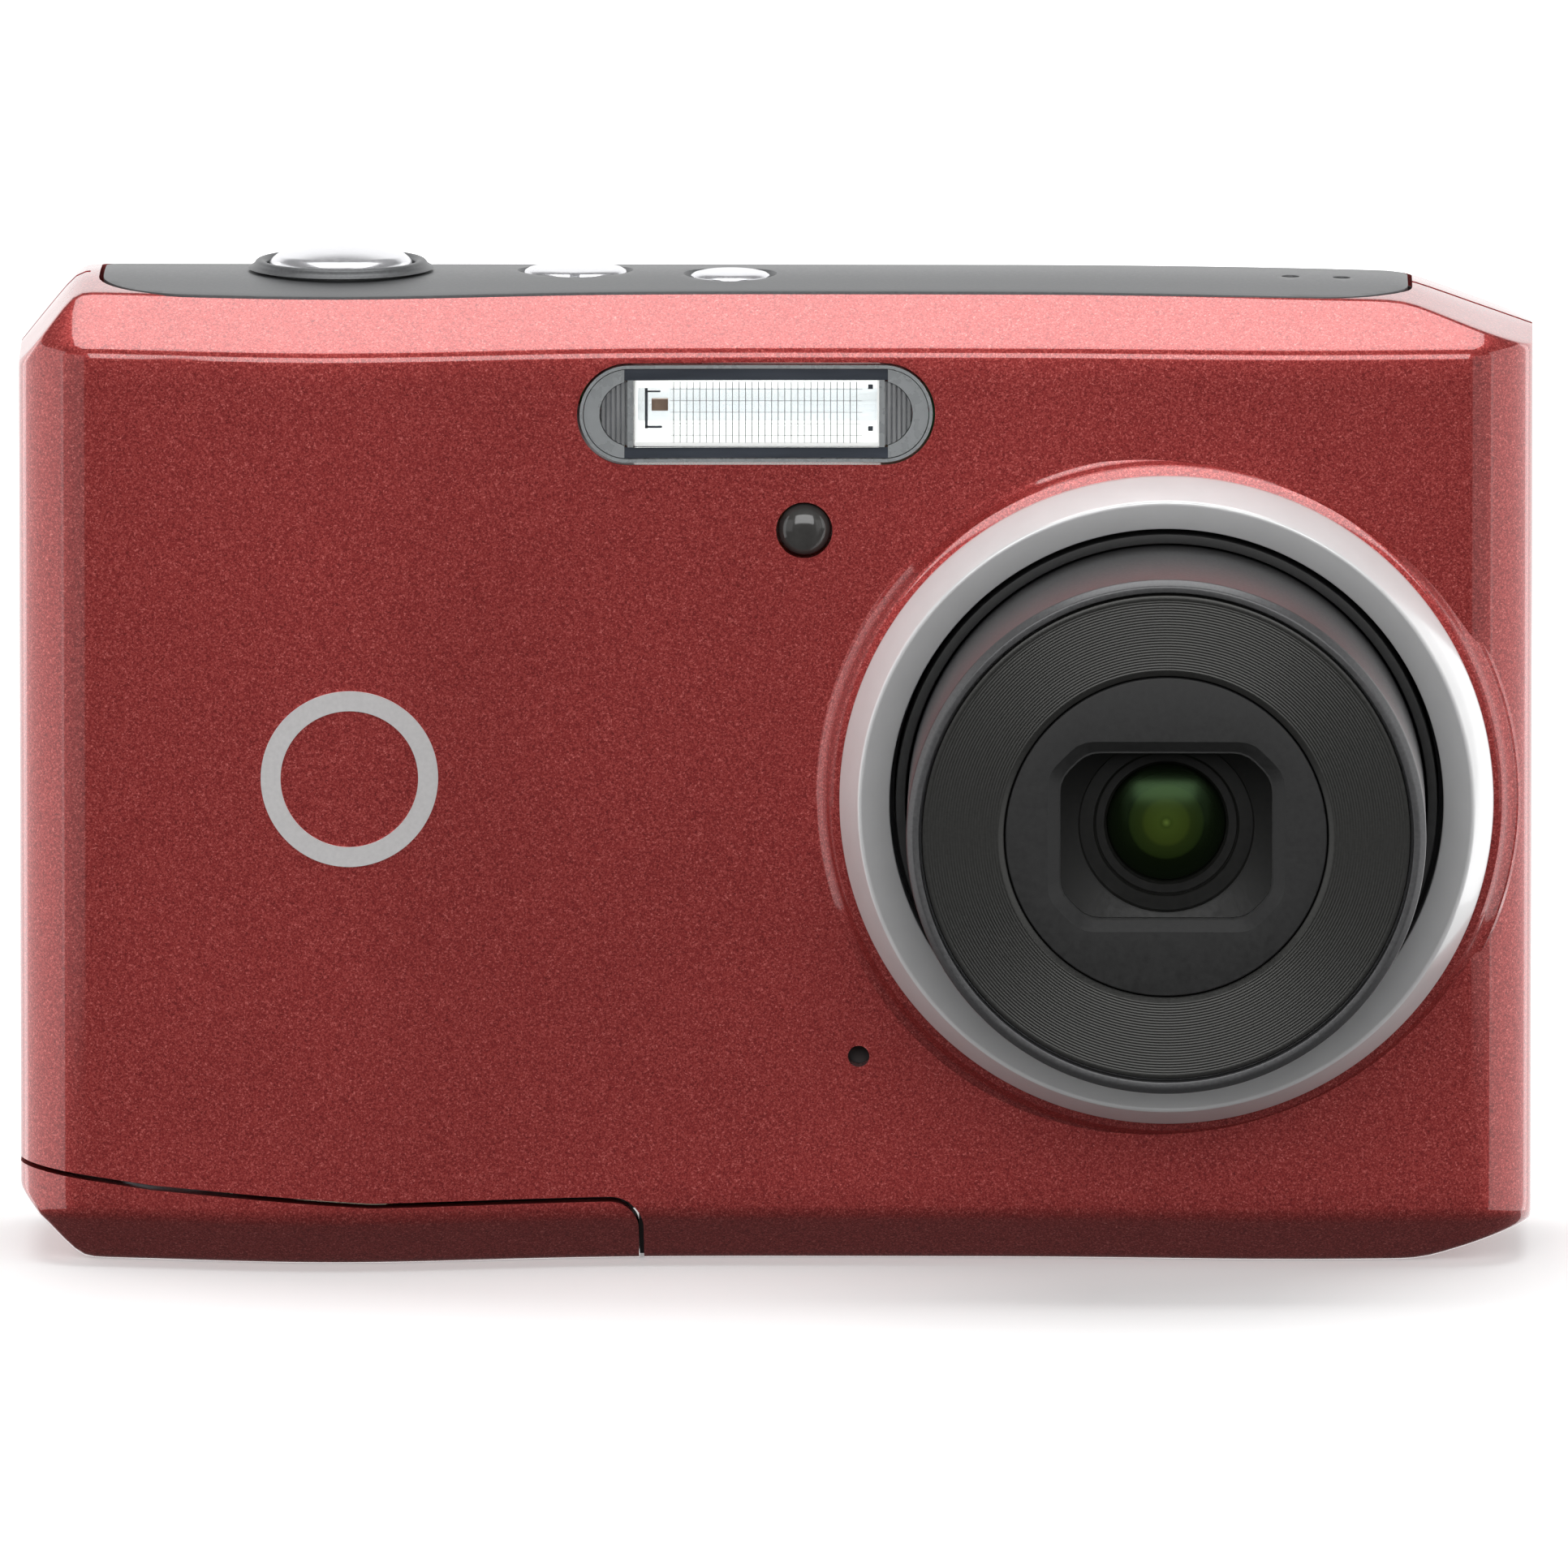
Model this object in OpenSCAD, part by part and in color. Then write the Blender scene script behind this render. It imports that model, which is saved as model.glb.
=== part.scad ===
// Compact digital camera for two AA cells, with a telescopic zoom lens.
// Every piece is its own solid. Millimetres, +Z up, the lens faces -Y,
// and the origin is the mouth of the tripod socket, at its centre.
// The lens is drawn run out and its barrier open: that is rest for every joint.

/* [Body] */
// Overall width of the body
body_w = 91.5; // [91.2:0.1:92]
// Height of the body to the front edge of the top plate
body_h = 59; // [58.9:0.1:59.4]
// Thickness of the front and rear shells
wall = 1.5; // [1.4:0.05:1.5]
// How far the battery grip stands forward
grip_out = 2.8; // [2.7:0.1:3.4]
// How far the face beside the lens stands forward
lens_out = 0.9; // [0.6:0.1:1]
// Crown of the top plate from front to back
crown = 0.45; // [0.3:0.05:0.6]
// Gap at split lines
gap = 0.2; // [0.15:0.01:0.2]

/* [Lens] */
// Position of the lens axis across the body
lens_x = 23.65; // [23.6:0.01:23.7]
// Height of the lens axis
lens_z = 28.8; // [28.7:0.05:28.9]
// Radius of the front barrel
barrel_r = 15.6; // [15.5:0.05:15.6]
// Distance of the barrel's front face ahead of the tripod socket
lens_face = 27.2; // [27:0.1:27.4]

/* [Flash] */
// Width of the flash window
flash_w = 21.4; // [20:0.1:21.4]
// Height of the flash window
flash_h = 6.0; // [5.6:0.1:6]

/* [Cells] */
// Radius of an AA cell
cell_r = 7.2; // [7.1:0.01:7.2]
// Depth position of the cells
cell_y = -2.3; // [-2.32:0.01:-2.3]

/* [Controls] */
// Radius of the shutter button
shutter_r = 4.35; // [4:0.05:4.35]
// Radius of the power button
power_r = 3.15; // [3:0.05:3.15]
// Radius of the mode button
mode_r = 2.45; // [2.2:0.05:2.45]

/* [Hidden] */
$fn = 48;

front_y = -10;       // face of the body between the grip and the lens
rear_y = 9.9;        // rear face
part_y = 1;          // split plane of the two shells
hw = body_w / 2;
xl = -40.7;          // left tip of the top plate
xr = 38.2;           // right tip of the top plate
plate_z = 57.8;      // floor of the recess that holds the top plate
cell_x = [-35.6, -20.85];
hinge_y = 8.5;       // battery door hinge
hinge_z = 1.45;
shutter = [-26.4, 1.2];
power = [-12.2, 1.6];
mode_b = [-2.8, -0.2];

// ---- outline of the body, as functions of the position across it ----
function bump(x, c, s) = exp(-pow((x - c) / s, 2));
function turn(x, r) = abs(x) > hw - r ? r - sqrt(max(0, r * r - pow(abs(x) - hw + r, 2))) : 0;
function yf(x) = front_y - grip_out * bump(x, -27, 12.5) - lens_out * bump(x, 31, 10) + turn(x, 4.5);
function yr(x) = rear_y - turn(x, 3);
function zt(x) = x < -hw + 3.55 ? body_h - 4.4 * (3.55 - hw - x) / 3.55
  : x > hw - 7.85 ? body_h - 0.33 - 2.8 * (x - hw + 7.85) / 7.85
  : body_h - 0.33 * pow(max(0, x - 14) / (hw - 21.85), 2);
function zb(x) = x < -hw + 3.85 ? 4.5 * (3.85 - hw - x) / 3.85
  : x > hw - 6.75 ? 2.5 * (x - hw + 6.75) / 6.75 : 0;
// upper and lower edges of the front face, which the sloped corners cut only at the ends
function ft(x) = min(body_h - 3.1, zt(x) - 0.3);
function fb(x) = max(3.2, zb(x) + 0.3);
function roof(x) = x < -41.2 || x > 38.7 ? 1.9 : 2.7 + body_h - 59;

ends_l = [0, 0.15, 0.6, 1.3, 2.2, 3, 3.7, 4.5];
ends_r = [7.85, 4.5, 3.3, 2.2, 1.3, 0.6, 0.15, 0];
xs_out = concat([for (d = ends_l) d - hw], [for (i = [0:24]) -hw + 7.2 + i * (body_w - 15.9) / 24],
  [for (d = ends_r) hw - d]);
xs_in = [for (i = [0:len(xs_out) - 1]) if (i % 2 == 0 || i < 9 || i > len(xs_out) - 10) xs_out[i]];

// section of the outside at x, from the lower front edge up and over to the bottom
function sec_out(x) = let (f = yf(x), r = yr(x), t = zt(x), b = zb(x))
  [[x, f, fb(x)], [x, f, ft(x)], [x, f + 3.9 * (t - ft(x)) / 3.1, t], [x, (f + r) / 2, t + crown],
   [x, r - 3, t], [x, r - 0.9, t - 0.9], [x, r, t - 3], [x, r, b + 1.5],
   [x, r - 1.5, b], [x, f + 3.6 * (fb(x) - b) / 3.2, b]];
// section of the cavity that belongs to the outside section at x
function sec_in(x) = let (f = yf(x), r = yr(x), t = zt(x), b = zb(x), q = x * (hw - wall) / hw)
  [[q, f + wall, b + 3.7], [q, f + wall, t - 4.2], [q, f + 4.5, t - roof(x)], [q, r - 3.2, t - roof(x)],
   [q, r - wall, t - 4.4], [q, r - wall, b + 2.1], [q, r - 2.1, b + wall], [q, f + 4.2, b + wall]];

module loft(secs) {
  m = len(secs[0]);
  n = len(secs);
  polyhedron(points = [for (s = secs) each s],
    faces = concat([[for (j = [m - 1:-1:0]) j]], [[for (j = [0:m - 1]) (n - 1) * m + j]],
      [for (i = [0:n - 2]) for (j = [0:m - 1]) let (k = (j + 1) % m)
        each [[i * m + j, i * m + k, (i + 1) * m + k], [i * m + j, (i + 1) * m + k, (i + 1) * m + j]]]),
    convexity = 8);
}
module outside() { loft([for (x = xs_out) sec_out(x)]); }
module cavity() { loft([for (x = xs_in) sec_in(x)]); }
module walls() { difference() { outside(); cavity(); } }

// ---- helpers ----
module box(x0, x1, y0, y1, z0, z1) { translate([x0, y0, z0]) cube([x1 - x0, y1 - y0, z1 - z0]); }
module xz(y0, y1) { translate([0, y1, 0]) rotate([90, 0, 0]) linear_extrude(y1 - y0) children(); }
module ycyl(x, z, r, y0, y1) { translate([x, y1, z]) rotate([90, 0, 0]) cylinder(r = r, h = y1 - y0); }
module xcyl(y, z, r, x0, x1) { translate([x0, y, z]) rotate([0, 90, 0]) cylinder(r = r, h = x1 - x0); }
module zcyl(x, y, r, z0, z1) { translate([x, y, z0]) cylinder(r = r, h = z1 - z0); }
module on_lens() { translate([lens_x, 0, lens_z]) rotate([90, 0, 0]) children(); }
module tube(r0, r1, h0, h1) { rotate_extrude() translate([r0, h0]) square([r1 - r0, h1 - h0]); }
module pill(w, h) { square([w - h, h], center = true);
  for (s = [-1, 1]) translate([s * (w - h) / 2, 0]) circle(d = h); }
module round_rect(w, h, r) { square([w - 2 * r, h], center = true); square([w, h - 2 * r], center = true);
  for (i = [-1, 1], j = [-1, 1]) translate([i * (w / 2 - r), j * (h / 2 - r)]) circle(r = r); }

// outline of the top plate, grown by g
function tip(x, g, r) = let (d = min(x - xl + g, xr + g - x)) d < r ? r - sqrt(max(0, r * r - pow(r - d, 2))) : 0;
function plate_xs(g) = concat([for (d = [0, 0.3, 1, 2.2, 3.8]) xl - g + d],
  [for (i = [0:14]) xl + 5.5 + i * (xr - xl - 11) / 14], [for (d = [3.8, 2.2, 1, 0.3, 0]) xr + g - d]);
function plate_pts(g) = let (q = plate_xs(g), n = len(q)) concat(
  [for (x = q) [x, yf(x) + 4.02 - g + tip(x, g, 5)]],
  [for (i = [n - 1:-1:0]) [q[i], rear_y - 3.1 + g - tip(q[i], g, 2)]]);

// outline of the battery door seen from the front, its cut edges drawn in by g
function door_pts(g) = concat([[-hw - 2, -2], [-8 - g, -2], [-8 - g, 2.3]],
  [for (a = [15:15:75]) [-10 + (2 - g) * cos(a), 2.3 + (2 - g) * sin(a)]],
  [[-10, 4.3 - g], [-24.4, 4.2 - g], [-37.7, 5.1 - g], [-hw - 2, 6.4 - g]]);

// ---- shells ----
module front_shell() {
  color([0.57, 0.2, 0.2]) difference() {
    union() {
      intersection() { walls(); box(-60, 60, -20, part_y, -5, 80); }
      on_lens() rotate_extrude() polygon([[17.8, 7.6], [17.8, 11.15], [20.1, 11.15], [20.6, 10.8], [21.2, 9.9], [21.4, 7.6]]);
    }
    translate([0, 0, plate_z]) linear_extrude(6) polygon(plate_pts(0.27));
    ycyl(lens_x, lens_z, 17.8, -20, 0);
    xz(-20, -5) translate([-1.13, 52.1]) pill(flash_w + 0.2, flash_h + 0.2);
    ycyl(1.77, 45, 1.7, -20, -5);
    ycyl(5.06, 12.9, 0.65, -20, -5);
    xz(-30, 5) polygon(door_pts(0));
    zcyl(0, 0, 4.7, -2, 4);
    box(-33.5, 1, -5.5, 5, 55, 60);
    for (x = [31.1, 34.2]) zcyl(x, 0, 0.55, 54, 60);
  }
}

module rear_shell() {
  color([0.5, 0.17, 0.17]) difference() {
    union() {
      intersection() { walls(); box(-60, 60, part_y, 20, -5, 80); }
      // the body's two hinge knuckles are added below the cut edge
      box(-42.6 - 0.6, -42.6, 3, 8.6, 43.2, 50.8);
      for (z = [43.2, 50]) box(-44.4, -42.6, 3, 7.6, z, z + 0.8);
    }
    translate([0, 0, plate_z]) linear_extrude(6) polygon(plate_pts(0.27));
    xz(0, 7.1) polygon(door_pts(0));
    box(-60, -8, 7.05, 12, -2, 3);
    zcyl(0, 0, 4.7, -2, 4);
    box(-33.5, 1, 0, 6.5, 55, 60);
    xz(8.8, 11) translate([15.5, 30]) round_rect(54.4, 44.4, 2);
    box(-9.6, 40.6, 8, 11, 10, 50);
    // rear controls
    xz(8, 12) translate([-28.5, 46.6]) round_rect(17.6, 6, 2);
    box(-29.5, -27.5, 8, 9.2, 42.6, 50.6);
    ycyl(-28.5, 22, 9.8, 8, 12);
    for (p = [[-38, 37], [-19, 37], [-38.6, 7.6], [-18.4, 7.6]]) {
      ycyl(p[0], p[1], 2.7, 8, 12);
      ycyl(p[0], p[1], 3.3, 8, 9);
    }
    // strap opening with the seats of its bar, port opening and screw holes
    box(-47, -43.2, 3.6, 7.2, 44, 50);
    zcyl(-44.7, 5.4, 0.82, 43.4, 50.6);
    box(42, 47, 1.75, 6.45, 37.4, 52.1);
    for (y = [1.2, 6.4]) translate([44.95, y, 38.55]) rotate([-90, 0, 0]) cylinder(r = 0.34, h = 0.75);
    for (x = [12, 38]) { zcyl(x, 5.5, 0.85, -1, 3); zcyl(x, 5.5, 1.5, -1, 0.7); }
    for (z = [12, 30]) { xcyl(4, z, 0.85, 43, 47); xcyl(4, z, 1.5, 45.05, 47); }
  }
  color([0.5, 0.17, 0.17]) for (x = [[-41.4, -39.8], [-12.2, -9]]) difference() {
    union() { xcyl(hinge_y, hinge_z, 1.2, x[0], x[1]); box(x[0], x[1], 7.6, 9.6, hinge_z, 3.4); }
    xcyl(hinge_y, hinge_z, 0.65, x[0] - 1, x[1] + 1);
    box(x[0] - 1, x[1] + 1, 7, 8.4, 3, 5);
  }
}

module top_plate() {
  color([0.22, 0.22, 0.23]) difference() {
    intersection() { outside(); translate([0, 0, plate_z + 0.05]) linear_extrude(6) polygon(plate_pts(0)); }
    zcyl(shutter[0], shutter[1], 4.95, 55, 62);
    zcyl(power[0], power[1], power_r + 0.15, 55, 62);
    translate([power[0], power[1], 58.95]) cylinder(r1 = power_r + 0.15, r2 = 3.75, h = 0.8);
    zcyl(mode_b[0], mode_b[1], mode_r + 0.15, 55, 62);
    translate([mode_b[0], mode_b[1], 58.95]) cylinder(r1 = mode_r + 0.15, r2 = 3.05, h = 0.8);
    for (x = [31.1, 34.2]) zcyl(x, 0, 0.55, 54, 62);
  }
}

// ---- top controls ----
module shutter_collar() {
  color([0.75, 0.75, 0.76]) translate([shutter[0], shutter[1], 0]) rotate_extrude()
    polygon([[4.5, 58.95], [4.5, 59.75], [4.75, 60.0], [5.1, 59.95], [5.35, 59.6], [5.65, 59.5], [4.93, 59.45], [4.93, 58.95]]);
}
module shutter_button() {
  color([0.85, 0.85, 0.86]) translate([shutter[0], shutter[1], 0]) rotate_extrude()
    polygon([[0, 58.3], [0, 60.85], [1.5, 60.8], [2.8, 60.6], [3.8, 60.25], [shutter_r, 59.75], [shutter_r, 58.8],
      [4.8, 58.8], [4.8, 58.3]]);
}
// a flat coil spring swept round three turns
module shutter_spring() {
  n = 42; r = 3.2; w = 0.18; z0 = 56.95; z1 = 58.05;
  pts = [for (i = [0:n]) let (a = i * 1080 / n, c = z0 + (z1 - z0) * i / n)
    each [for (q = [[-w, -0.1], [w, -0.1], [w, 0.1], [-w, 0.1]])
      [shutter[0] + (r + q[0]) * cos(a), shutter[1] + (r + q[0]) * sin(a), c + q[1]]]];
  color([0.7, 0.7, 0.72]) polyhedron(points = pts,
    faces = concat([[0, 1, 2, 3]], [[4 * n + 3, 4 * n + 2, 4 * n + 1, 4 * n]],
      [for (i = [0:n - 1]) for (j = [0:3]) let (k = (j + 1) % 4)
        each [[4 * i + j, 4 * i + 4 + k, 4 * i + k], [4 * i + j, 4 * i + 4 + j, 4 * i + 4 + k]]]));
}
module power_button() {
  color([0.82, 0.82, 0.84]) translate([power[0], power[1], 0]) rotate_extrude()
    polygon([[0, 57.25], [0, 59.6], [2.2, 59.55], [power_r - 0.15, 59.4], [power_r, 59.2], [power_r, 57.65], [3.7, 57.65], [3.7, 57.25]]);
}
module mode_button() {
  color([0.82, 0.82, 0.84]) translate([mode_b[0], mode_b[1], 0]) rotate_extrude()
    polygon([[0, 57.25], [0, 59.55], [1.7, 59.5], [mode_r - 0.12, 59.4], [mode_r, 59.2], [mode_r, 57.65], [3, 57.65], [3, 57.25]]);
}
module top_switch_board() {
  color([0.1, 0.35, 0.2]) union() {
    box(-33, 0.6, -5, 5.9, 56.3, 56.55);
    zcyl(shutter[0], shutter[1], 1.6, 56.5, 56.85);
    zcyl(power[0], power[1], 1.4, 56.5, 56.8);
    zcyl(mode_b[0], mode_b[1], 1.4, 56.5, 56.8);
  }
}
module speaker() {
  color([0.15, 0.15, 0.15]) difference() { zcyl(32.6, 0, 5, 52.4, 55.6); zcyl(32.6, 0, 3.8, 55.1, 57); }
}

// ---- flash, lamp and microphone ----
module flash_window() {
  color([0.85, 0.87, 0.88]) intersection() {
    outside();
    xz(-14, -8.9) translate([-1.13, 52.1]) pill(flash_w, flash_h);
  }
}
module flash_reflector() {
  color([0.9, 0.9, 0.9]) difference() {
    box(-8.6, 6.4, -8.4, -3.6, 49.6, 54.6);
    xcyl(-5.6, 52.1, 1.3, -10, 8);
    xz(-9, -5.6) translate([-1.1, 52.1]) square([14, 2.6], center = true);
    xz(-9, -7.4) translate([-1.1, 52.1]) square([14, 3.8], center = true);
  }
}
module flash_tube() {
  color([0.9, 0.92, 0.95]) union() { xcyl(-5.6, 52.1, 1, -10.6, 8.4); xcyl(-5.6, 52.1, 0.5, -11.6, 9.4); }
}
module flash_capacitor() {
  color([0.12, 0.12, 0.14]) union() { zcyl(-6.6, -3.6, 4.1, 8.6, 43); zcyl(-6.6, -3.6, 3.6, 43, 43.6);
    for (d = [-1.5, 1.5]) zcyl(-6.6 + d, -3.6, 0.35, 7.4, 8.7); }
}
module af_lamp_window() {
  color([0.08, 0.1, 0.09]) union() { ycyl(1.77, 45, 1.6, -9.9, -8.6);
    intersection() { ycyl(1.77, 45, 1.6, -12, -9.5); translate([1.77, -6.9, 45]) sphere(r = 3.4); } }
}
module af_lamp_led() {
  color([0.9, 0.45, 0.15]) union() { ycyl(1.77, 45, 1.25, -8.3, -6); ycyl(1.77, 45, 1.5, -6, -5.3);
    for (d = [-0.6, 0.6]) ycyl(1.77 + d, 45, 0.2, -5.4, -3.4); }
}
module microphone() { color([0.3, 0.3, 0.3]) union() { ycyl(5.06, 12.9, 1.9, -8.4, -7.6); ycyl(5.06, 12.9, 0.6, -8.45, -8.3); } }
// plain raised mark: a ring with one bar across it
module badge() {
  color([0.75, 0.72, 0.72]) difference() {
    intersection() {
      translate([0, -0.2, 0]) outside();
      xz(-16, -9) translate([-25.65, 30.2]) difference() { circle(r = 5.4); circle(r = 4.1); }
    }
    outside();
  }
}

// ---- lens ----
module lens_ring() {
  color([0.85, 0.85, 0.86]) on_lens() rotate_extrude()
    polygon([[16.7, 8.8], [16.7, 12.9], [18.4, 14.45], [18.6, 14.4], [19.75, 11.7], [19.75, 11.2], [17.6, 11.2], [17.6, 8.8]]);
}
module lens_base() {
  color([0.14, 0.14, 0.15]) on_lens() difference() {
    union() { tube(16.45, 17.5, -3, 8.6); translate([0, 0, -3.9]) cylinder(r = 17.5, h = 0.95); }
    translate([-4.6, -3.6, -5]) cube([9.2, 7.2, 3]);
    for (s = [-1, 1]) translate([s * 9.5, 0, -5]) cylinder(r = 0.62, h = 4);
  }
}
module cam_barrel() { color([0.09, 0.09, 0.1]) on_lens() tube(15.75, 16.35, 3.5, 12.5); }
module front_barrel() {
  f = lens_face;
  color([0.25, 0.25, 0.26]) on_lens() rotate_extrude()
    polygon([[14.85, f - 16.5], [14.85, f - 1.85], [13.9, f - 1.8], [13.9, f - 1.05], [14.85, f - 1.05], [14.85, f],
      [barrel_r - 0.35, f], [barrel_r, f - 0.4], [barrel_r, f - 16.5]]);
}
module name_ring() {
  color([0.2, 0.2, 0.19]) on_lens() rotate_extrude()
    polygon(concat([[9.75, lens_face - 1.0], [9.75, lens_face - 0.45]],
      [for (i = [0:8]) each [[10.2 + i * 0.48, lens_face - 0.35], [10.44 + i * 0.48, lens_face - 0.25]]],
      [[14.6, lens_face - 0.2], [14.8, lens_face - 0.4], [14.8, lens_face - 1.0]]));
}
module octagon(w, h, c) { polygon([for (i = [[1, 1], [-1, 1], [-1, -1], [1, -1]])
  let (a = [i[0] * (w / 2 - c), i[1] * h / 2], b = [i[0] * w / 2, i[1] * (h / 2 - c)])
  each (i[0] * i[1] > 0 ? [b, a] : [a, b])]); }
module barrier_cover() {
  color([0.16, 0.16, 0.16]) on_lens() difference() {
    translate([0, 0, lens_face - 1.35]) cylinder(r = 9.65, h = 0.95);
    translate([0, 0, lens_face - 3]) linear_extrude(4) octagon(13.1, 10, 2);
    translate([0, 0, lens_face - 0.8]) linear_extrude(2) octagon(14.8, 11.7, 2.4);
  }
}
module blade() {
  translate([0, 0, lens_face - 2.6]) linear_extrude(0.45)
    intersection() { translate([-6.95, 5.4]) square([13.9, 5.4]); circle(r = 12.8); }
}
module barrier_blade_upper() { color([0.12, 0.12, 0.12]) on_lens() blade(); }
module barrier_blade_lower() { color([0.12, 0.12, 0.12]) on_lens() mirror([0, 1, 0]) blade(); }
module front_lens_cell() {
  color([0.1, 0.1, 0.1]) on_lens() rotate_extrude()
    polygon([[3.1, 17.5], [3.1, 18.1], [3.6, 18.1], [3.6, 20.9], [4.3, 20.9], [4.3, 21.4], [5.3, 21.4], [5.3, 21.9],
      [5.6, 21.9], [8.6, 23.1], [14.8, 23.1], [14.8, 22.4], [9.5, 22.4], [9.5, 17.5]]);
}
module front_lens() {
  color([0.2, 0.35, 0.3]) on_lens() intersection() { translate([0, 0, 18.15]) cylinder(r = 3.55, h = 4);
    translate([0, 0, 11.8]) sphere(r = 9); }
}
module rear_lens_cell() {
  color([0.1, 0.1, 0.1]) on_lens() difference() {
    union() { tube(3.9, 5.6, -2.9, 1.5);
      for (s = [-1, 1]) { translate([s * 9.5, 0, -2.9]) cylinder(r = 1.5, h = 4.4);
        translate([s * 7.2 - 2.2, -0.7, -2.9]) cube([4.4, 1.4, 1.2]); } }
    for (s = [-1, 1]) translate([s * 9.5, 0, -4]) cylinder(r = 0.64, h = 8);
    translate([0, 0, -4]) cylinder(r = 3.9, h = 8);
  }
}
module rear_lens() {
  color([0.7, 0.8, 0.85]) on_lens() intersection() { translate([0, 0, -2]) cylinder(r = 3.85, h = 4);
    translate([0, 0, -6.2]) sphere(r = 7.4); }
}
module focus_guide_rods() { color([0.8, 0.8, 0.8]) on_lens() for (s = [-1, 1]) translate([s * 9.5, 0, -3.85]) cylinder(r = 0.6, h = 7.55); }
module sensor_board() {
  color([0.1, 0.3, 0.4]) union() { box(lens_x - 13, lens_x + 13, 4, 4.6, lens_z - 11, lens_z + 11);
    box(lens_x - 4.4, lens_x + 4.4, 3.2, 4.1, lens_z - 3.4, lens_z + 3.4); }
}
module zoom_motor() { color([0.75, 0.75, 0.76]) union() { ycyl(8.3, 11.8, 3, -6.3, 3); ycyl(8.3, 11.8, 0.5, -8.2, -6.2); } }
// toothed wheel on the motor shaft
module drive_gear() {
  color([0.9, 0.9, 0.85]) difference() {
    xz(-7.4, -6.5) translate([8.3, 11.8]) polygon([for (i = [0:39]) let (r = i % 4 < 2 ? 2.3 : 1.8) [r * cos(i * 9), r * sin(i * 9)]]);
    ycyl(8.3, 11.8, 0.54, -9, -5);
  }
}

// ---- inside frame and electronics ----
module chassis() {
  color([0.6, 0.62, 0.62]) difference() {
    box(-12.8, 5.2, 1.6, 2.4, 7.1, 51);
    for (z = [14, 24, 44]) xz(0, 4) translate([-4, z]) round_rect(7, 5, 1.5);
  }
}
module main_board() {
  color([0.1, 0.4, 0.2]) union() { box(-12, 37, 5, 5.5, 8, 52); box(-10, 1, 4, 5.1, 30, 40); box(-9, 0, 4.2, 5.1, 12, 19);
    box(38 - 34, 8, 4.1, 5.1, 46, 50); }
}
module lcd_window() { color([0.05, 0.05, 0.06]) xz(8.85, 10) translate([15.5, 30]) round_rect(54, 44, 1.8); }
module lcd_panel() {
  color([0.15, 0.16, 0.2]) difference() { box(-10, 41, 5.8, 8.3, 9.5, 50.5); box(-8.5, 39.5, 8, 9, 11, 49); }
}
module zoom_rocker() {
  color([0.2, 0.2, 0.2]) union() {
    xz(9.1, 10.4) translate([-28.5, 46.6]) round_rect(17, 5.4, 1.8);
    zcyl(-28.5, 8.8, 0.4, 43, 50.2);
    box(-28.9, -28.1, 8.8, 9.2, 44.2, 49);
    for (s = [-1, 1]) ycyl(-28.5 + s * 6.6, 46.6, 1.1, 10.2, 10.6);
  }
}
module small_key(x, z) { ycyl(x, z, 2.5, 8.9, 10.3); ycyl(x, z, 3.1, 8.6, 8.92); }
module play_button() { color([0.2, 0.2, 0.2]) union() small_key(-38, 37); }
module record_button() { color([0.2, 0.2, 0.2]) union() small_key(-19, 37); }
module menu_button() { color([0.2, 0.2, 0.2]) union() small_key(-38.6, 7.6); }
module delete_button() { color([0.2, 0.2, 0.2]) union() small_key(-18.4, 7.6); }
module pad_pivot() {
  color([0.3, 0.3, 0.3]) difference() {
    // ring with the two trunnions it rocks on
    union() { ycyl(-28.5, 22, 5, 8.45, 8.8); xcyl(8.62, 22, 0.25, -34.7, -22.3); }
    ycyl(-28.5, 22, 4.2, 8, 9.1);
  }
}
module four_way_pad() {
  color([0.2, 0.2, 0.2]) difference() {
    ycyl(-28.5, 22, 9.4, 9.15, 10.6);
    ycyl(-28.5, 22, 3.65, 8, 12);
    translate([-28.5, 10.9, 22]) rotate([90, 0, 0]) rotate_extrude() translate([6.5, 0]) circle(r = 0.9);
  }
}
module set_button() { color([0.22, 0.22, 0.22]) union() { ycyl(-28.5, 22, 3.3, 8.9, 10.7); ycyl(-28.5, 22, 3.6, 8.6, 8.92); } }
module rear_key_board() {
  color([0.15, 0.35, 0.2]) union() { box(-41.2, -15.4, 7.75, 7.95, 5, 50);
    for (p = [[-38, 37], [-19, 37], [-38.6, 7.6], [-18.4, 7.6], [-28.5, 22], [-35, 46.6], [-22, 46.6]]) ycyl(p[0], p[1], 1.5, 7.9, 8.15); }
}

// ---- cells, door and card ----
module battery_holder() {
  color([0.13, 0.13, 0.14]) difference() {
    intersection() {
      union() { for (x = cell_x) zcyl(x, cell_y, 7.75, 5, 57); box(cell_x[0], cell_x[1], -6.5, 4.8, 5, 57); }
      xz(-9.2, 4.6) polygon([[-42.5, 5.3], [-13, 5.3], [-13, 55.9], [-41, 55.9], [-42.5, 54.2]]);
      // front edge sloped under the chamfer of the shell
      translate([-50, 0, 0]) rotate([90, 0, 90]) linear_extrude(50)
        polygon([[-9.2, 5], [5, 5], [5, 56], [-6.8, 56], [-9.2, 54.4]]);
    }
    for (x = cell_x) zcyl(x, cell_y, 7.3, 4, 55.05);
  }
}
module battery_cells() {
  color([0.7, 0.72, 0.75]) union() {
    zcyl(cell_x[0], cell_y, cell_r, 4.45, 53.8); zcyl(cell_x[0], cell_y, 2.7, 53.7, 54.6);
    zcyl(cell_x[1], cell_y, cell_r, 5.25, 54.6); zcyl(cell_x[1], cell_y, 2.7, 4.45, 5.3);
  }
}
module battery_contacts() { color([0.8, 0.72, 0.45]) for (x = cell_x) zcyl(x, cell_y, 4.6, 54.65, 55); }
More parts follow.
